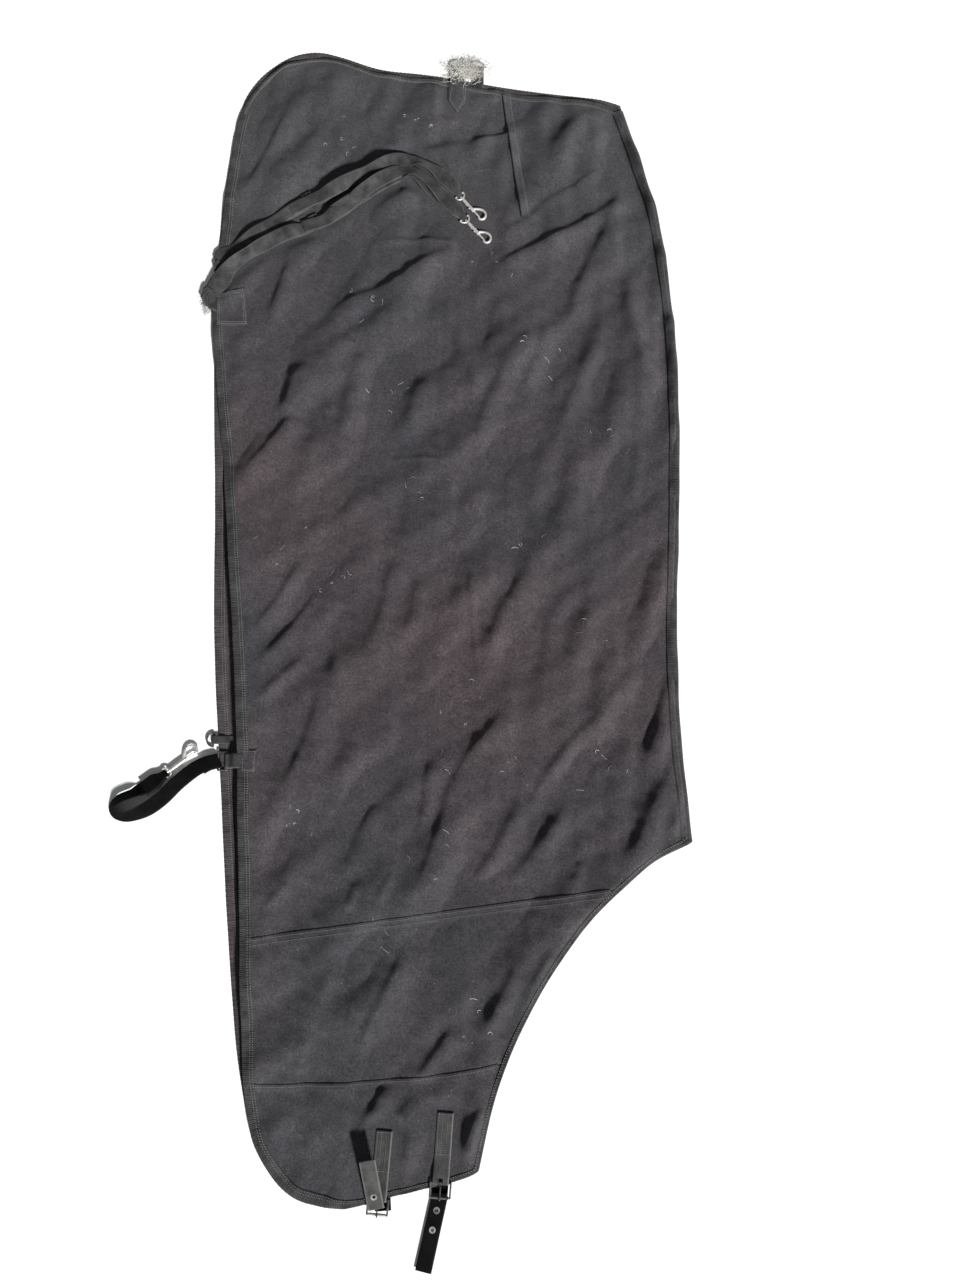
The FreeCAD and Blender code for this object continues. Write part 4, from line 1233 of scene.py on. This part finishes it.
def make_patch(name, corners, insets):
    """A sewn-on patch of cloth that follows the near half, its corners in mm.

    insets says how far in each of its stitch rows lies, as a share of the way to its middle.
    """
    lift = 1.5 * MM
    a, b, c, d = [np.array(p) * MM for p in corners]
    t = np.linspace(0, 1, 16)[:, None]
    plan = coons(a + (b - a) * t, d + (c - d) * t, a + (d - a) * t, b + (c - b) * t)
    edge = np.minimum(np.minimum(t, 1 - t), np.minimum(t.T, 1 - t.T))
    z = near_z(plan[..., 0], plan[..., 1]) + lift * (0.35 + 0.65 * smoothstep(edge * 12))
    thing = grid_object(f"{name}_cloth", np.concatenate([plan, z[..., None]], axis=-1))
    thicken(thing, 1.0 * MM)
    finish(thing, CLOTH, "near_half", "cloth", name)
    TRIM["near"].append(thing)
    middle = (a + b + c + d) / 4
    for inset in insets:
        stitch_sides([p + (middle - p) * inset for p in (a, b, c, d, a)], lift + 0.5 * MM, 3.4, 2.3)


def make_tabs():
    """The sewn patches, and the tabs that hold the belly and tail rings."""
    make_patch("leg_strap_patch", [(-406, 508), (-358, 522), (-350, 452), (-405, 448)], (0.10, 0.22))
    make_patch("belly_patch", [(-324, -303), (-302, -303), (-302, -339), (-324, -339)], (0.16,))
    wrapped("belly_tab_webbing", (-0.352, -0.321), 180, 5.25 * MM, 30 * MM, WEB, WEBBING, "near_half",
            ["belly_tab"], near_z, under=14 * MM, settle=14 * MM)

    def pointed(back, on_top):
        """The tail tab's width: its lower run is even, its upper run broadens and ends in a point."""
        wide = np.interp(back, [0.020, 0.040, 0.070, 0.097], [0.022, 0.034, 0.034, 0.0015])
        return np.where(on_top, wide, 0.022)

    tail_bar = (0.022, 0.974)
    wrapped("near_tail_tab_cloth", tail_bar, 90, 5.25 * MM, 97 * MM, pointed, CLOTH, "near_half",
            ["near_tail_tab"], near_z, settle=20 * MM, slot="cloth")
    outline = [(-0.009, 0.93), (-0.014, 0.905), (0, 0.882), (0.014, 0.905), (0.009, 0.93)]
    stitch_sides([(tail_bar[0] + x, y) for x, y in outline], 2.3 * MM, 3.4, 2.3)
    wrapped("far_tail_tab_webbing", (0.061, 0.974), 90, 3.3 * MM, 50 * MM, 22 * MM, WEBBING, "far_half",
            ["far_tail_tab"], far_z, lift=1.9 * MM)
    wrapped("far_belly_tab_webbing", (-0.376, -0.286), 180, 3.3 * MM, 40 * MM, 14 * MM, WEBBING, "far_half",
            ["far_belly_tab"], far_z, lift=1.9 * MM)


BUCKLE_Z = 9.5 * MM
# Each chest buckle's bar, the way its chape comes to it in degrees, and how long the chape is.
CLOSURES = {"left": ((-0.090, -0.985), -94.7, 98 * MM), "right": ((0.005, -0.961), -94.1, 100 * MM)}


def make_chapes():
    """The slotted and stitched strap ends that hold the two chest buckles."""
    for side, (bar, turn, length) in CLOSURES.items():
        wrapped(f"{side}_chape_webbing", bar, turn, BUCKLE_Z, length, WEB, WORN_WEBBING, "near_half",
                [f"{side}_chape"], near_z, slot_half=7 * MM, under=34 * MM, lift=1.9 * MM, settle=34 * MM)
        box_stitches(bar, turn, 40 * MM, length - 2.5 * MM, 10.4 * MM, 4 * MM, 3.0 * MM)


def punch(thing, centre, axis, radius):
    """Cuts a round hole through a strap, where an eyelet is set."""
    mesh = bpy.data.meshes.new("cutter")
    form = bmesh.new()
    bmesh.ops.create_cone(form, cap_ends=True, segments=20, radius1=radius, radius2=radius, depth=12 * MM)
    form.to_mesh(mesh)
    form.free()
    cutter = bpy.data.objects.new("cutter", mesh)
    cutter.rotation_mode = "QUATERNION"
    cutter.rotation_quaternion = Vector(axis).to_track_quat("Z", "Y")
    cutter.location = centre
    bpy.context.collection.objects.link(cutter)
    modifier = thing.modifiers.new("hole", "BOOLEAN")
    modifier.object = cutter
    modifier.operation = "DIFFERENCE"
    modifier.solver = "EXACT"
    bpy.context.view_layer.update()
    cut = thing.evaluated_get(bpy.context.evaluated_depsgraph_get())
    made = bpy.data.meshes.new_from_object(cut)
    thing.modifiers.remove(modifier)
    thing.data = made
    bpy.data.objects.remove(cutter)


BILLET_TILT = math.radians(14)     # how steeply the left billet rises through its buckle,
BILLET_LIFT = 3.61 * MM            # and how far above the buckle's bar it starts to
HOLE = 2.6 * MM                    # the radius of the hole under an eyelet


def make_billets():
    """The left billet stands up out of its buckle; the right one lies level under its buckle."""
    # The left billet's root reaches on under the buckle and to its right in near-black webbing: painted
    # shade, where the buckle and billet shade it.
    root = [(-0.088, -0.905, 2.9 * MM), (-0.0865, -0.950, 2.9 * MM), (-0.083, -1.003, 2.9 * MM)]
    ribbon("left_billet_root_webbing", resample(np.array(root), 3 * MM), WEB, END_THICK, BLACK_WEBBING,
           "far_half", nodes=["left_billet_root"])

    base, turn = np.array([-0.092, -0.998, BUCKLE_Z]), 100
    ahead = heading(turn)
    profile = [(0.8 * MM, -3.6 * MM), (0.8 * MM, -1.0 * MM), (0.9 * MM, 2.0 * MM), (3.0 * MM, 4.6 * MM)]
    for d in (8, 14, 22, 30, 40, 50, 60, 70, 80):
        along = d * MM
        profile.append((along * math.cos(BILLET_TILT) - 0.8 * MM * math.sin(BILLET_TILT),
                        BILLET_LIFT + along * math.sin(BILLET_TILT) + 0.8 * MM * math.cos(BILLET_TILT)))
    line = resample(smooth_line([base + ahead * u + UP * z for u, z in profile], 1 * MM), 1.5 * MM)
    cup = 1.0 * MM * smoothstep((run_length(line) - 0.04) / 0.02)
    thing = ribbon("left_billet_webbing", line, WEB, END_THICK, WORN_WEBBING, "near_half",
                   nodes=["left_billet"], sides=side_of(turn), cup=cup)
    up = UP * math.cos(BILLET_TILT) - ahead * math.sin(BILLET_TILT)
    rise = BILLET_LIFT + 22 * MM * math.sin(BILLET_TILT)
    punch(thing, base + ahead * 22 * MM * math.cos(BILLET_TILT) + UP * rise, up, HOLE)

    ahead = heading(-103)
    start = np.array([0.002, -0.9885, 2.9 * MM])
    path = [(0.006, -0.905, 2.9 * MM), (0.005, -0.950, 2.9 * MM), (0.003, -0.981, 2.9 * MM)]
    path += [tuple(start + ahead * d * MM) for d in (0, 20, 40, 60, 80, 102)]
    line = resample(smooth_line(path, 2 * MM), 1.5 * MM)
    thing = ribbon("right_billet_webbing", line, WEB, END_THICK, BLACK_WEBBING, None,
                   nodes=["right_billet_root", "right_billet"])
    for d in (14, 42):
        punch(thing, start + ahead * d * MM, (0, 0, 1), HOLE)
    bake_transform(thing)


# ---------- loose fibres ----------

def hair(points, faces, path, radius):
    """One fibre: a thin three-sided tube along a few points."""
    line = resample(smooth_line(path, 1.5 * MM), 1.5 * MM)
    faces += tube_faces(len(points), len(line), 3)
    for place, ahead in zip(line, tangents(line)):
        points += ring_points(place, *sideways(ahead), radius, 3)


# Where tufts of pale fibres lie, in plan.
LINT_PLACES = [(0.000, -0.330), (0.110, -0.335), (0.045, -0.230), (-0.250, -0.420), (-0.090, -0.610),
               (-0.140, 0.470), (0.190, 0.390), (0.240, -0.110), (-0.040, 0.150), (-0.185, -0.020),
               (0.090, 0.560), (-0.030, 0.860), (0.310, 0.240), (-0.280, 0.020), (0.060, -0.740),
               (-0.190, 0.820), (0.130, 0.060), (-0.100, 0.330), (0.270, -0.330), (-0.010, -0.480)]


def make_lint():
    """Pale fibres and horse hairs lying on the near half."""
    state = np.random.default_rng(12)
    points, faces = [], []
    for x, y in LINT_PLACES:
        for _ in range(5):
            px, py = x + state.normal(0, 0.02), y + state.normal(0, 0.02)
            turn = state.uniform(0, math.pi)
            bend = state.normal(0, 0.9)
            step = state.uniform(2.0, 4.5) * MM
            path = []
            for _ in range(4):
                height = float(near_z(np.array(px), np.array(py))) + state.uniform(0.9, 1.5) * MM
                path.append((px, py, height))
                px += step * math.cos(turn)
                py += step * math.sin(turn)
                turn += bend
            hair(points, faces, path, state.uniform(0.18, 0.34) * MM)
    finish(new_object("lint_fibres", points, faces), LINT, "near_half", "cloth")


def make_fray(name, middle, spread, count, length, body, material, seed):
    """A tuft of loose thread ends, strewn round its middle by spread in x and y."""
    state = np.random.default_rng(seed)
    points, faces = [], []
    for _ in range(count):
        x, y = middle[0] + state.normal(0, spread[0]), middle[1] + state.normal(0, spread[1])
        z = middle[2] + state.uniform(-1, 1) * 1.2 * MM
        turn = state.uniform(0, 2 * math.pi)
        path = []
        for k in range(4):
            path.append((x, y, z))
            x += length / 3 * math.cos(turn)
            y += length / 3 * math.sin(turn)
            z = max(1.0 * MM, z + state.normal(0, 1.0) * MM)
            turn += state.normal(0, 0.7)
        hair(points, faces, path, state.uniform(0.14, 0.30) * MM)
    finish(new_object(name, points, faces), material, body, "webbing")


# ---------- hardware ----------

def dress_hardware():
    """The CAD's metal pieces keep their shape and get their metals."""
    for name, thing in NODES.items():
        if thing.hide_render:
            continue
        metal = NICKEL
        # Buckles, slides and belly rings are dark steel. The left buckle's roller alone stays bright nickel,
        # a painted glint, though it is the same part as the right one.
        if any(word in name for word in ("buckle", "slide", "belly_ring")) and name != "left_buckle_roller":
            metal = STEEL
        if "eyelet" in name:
            metal = BRASS
        if thing.material_slots:
            for place in thing.material_slots:
                place.material = metal
        else:
            thing.data.materials.append(metal)
        shade_smooth(thing)
        thing.data.set_sharp_from_angle(angle=math.radians(35))


# ---------- build ----------

add_camera()
add_studio()
make_panels()
make_bindings()
make_seams()
make_spine_roll()
make_leg_strap("near", slide_at=4, root_y=0.508, inset_mm=13, spread_mm=22, sway_mm=5.5)
make_leg_strap("far", slide_at=3, root_y=0.566, inset_mm=22, spread_mm=2, sway_mm=3.0)
make_belly_strap()
make_tabs()
make_chapes()
make_billets()
make_fray("leg_strap_fray", (-0.423, 0.496, 6 * MM), (3 * MM, 9 * MM), 110, 13 * MM,
          "near_half", FUZZ, seed=4)
make_fray("tail_ring_fray", (0.040, 0.967, 9 * MM), (17 * MM, 11 * MM), 620, 15 * MM,
          "near_tail_ring", LINT, seed=6)
make_lint()
make_stitches()
dress_hardware()
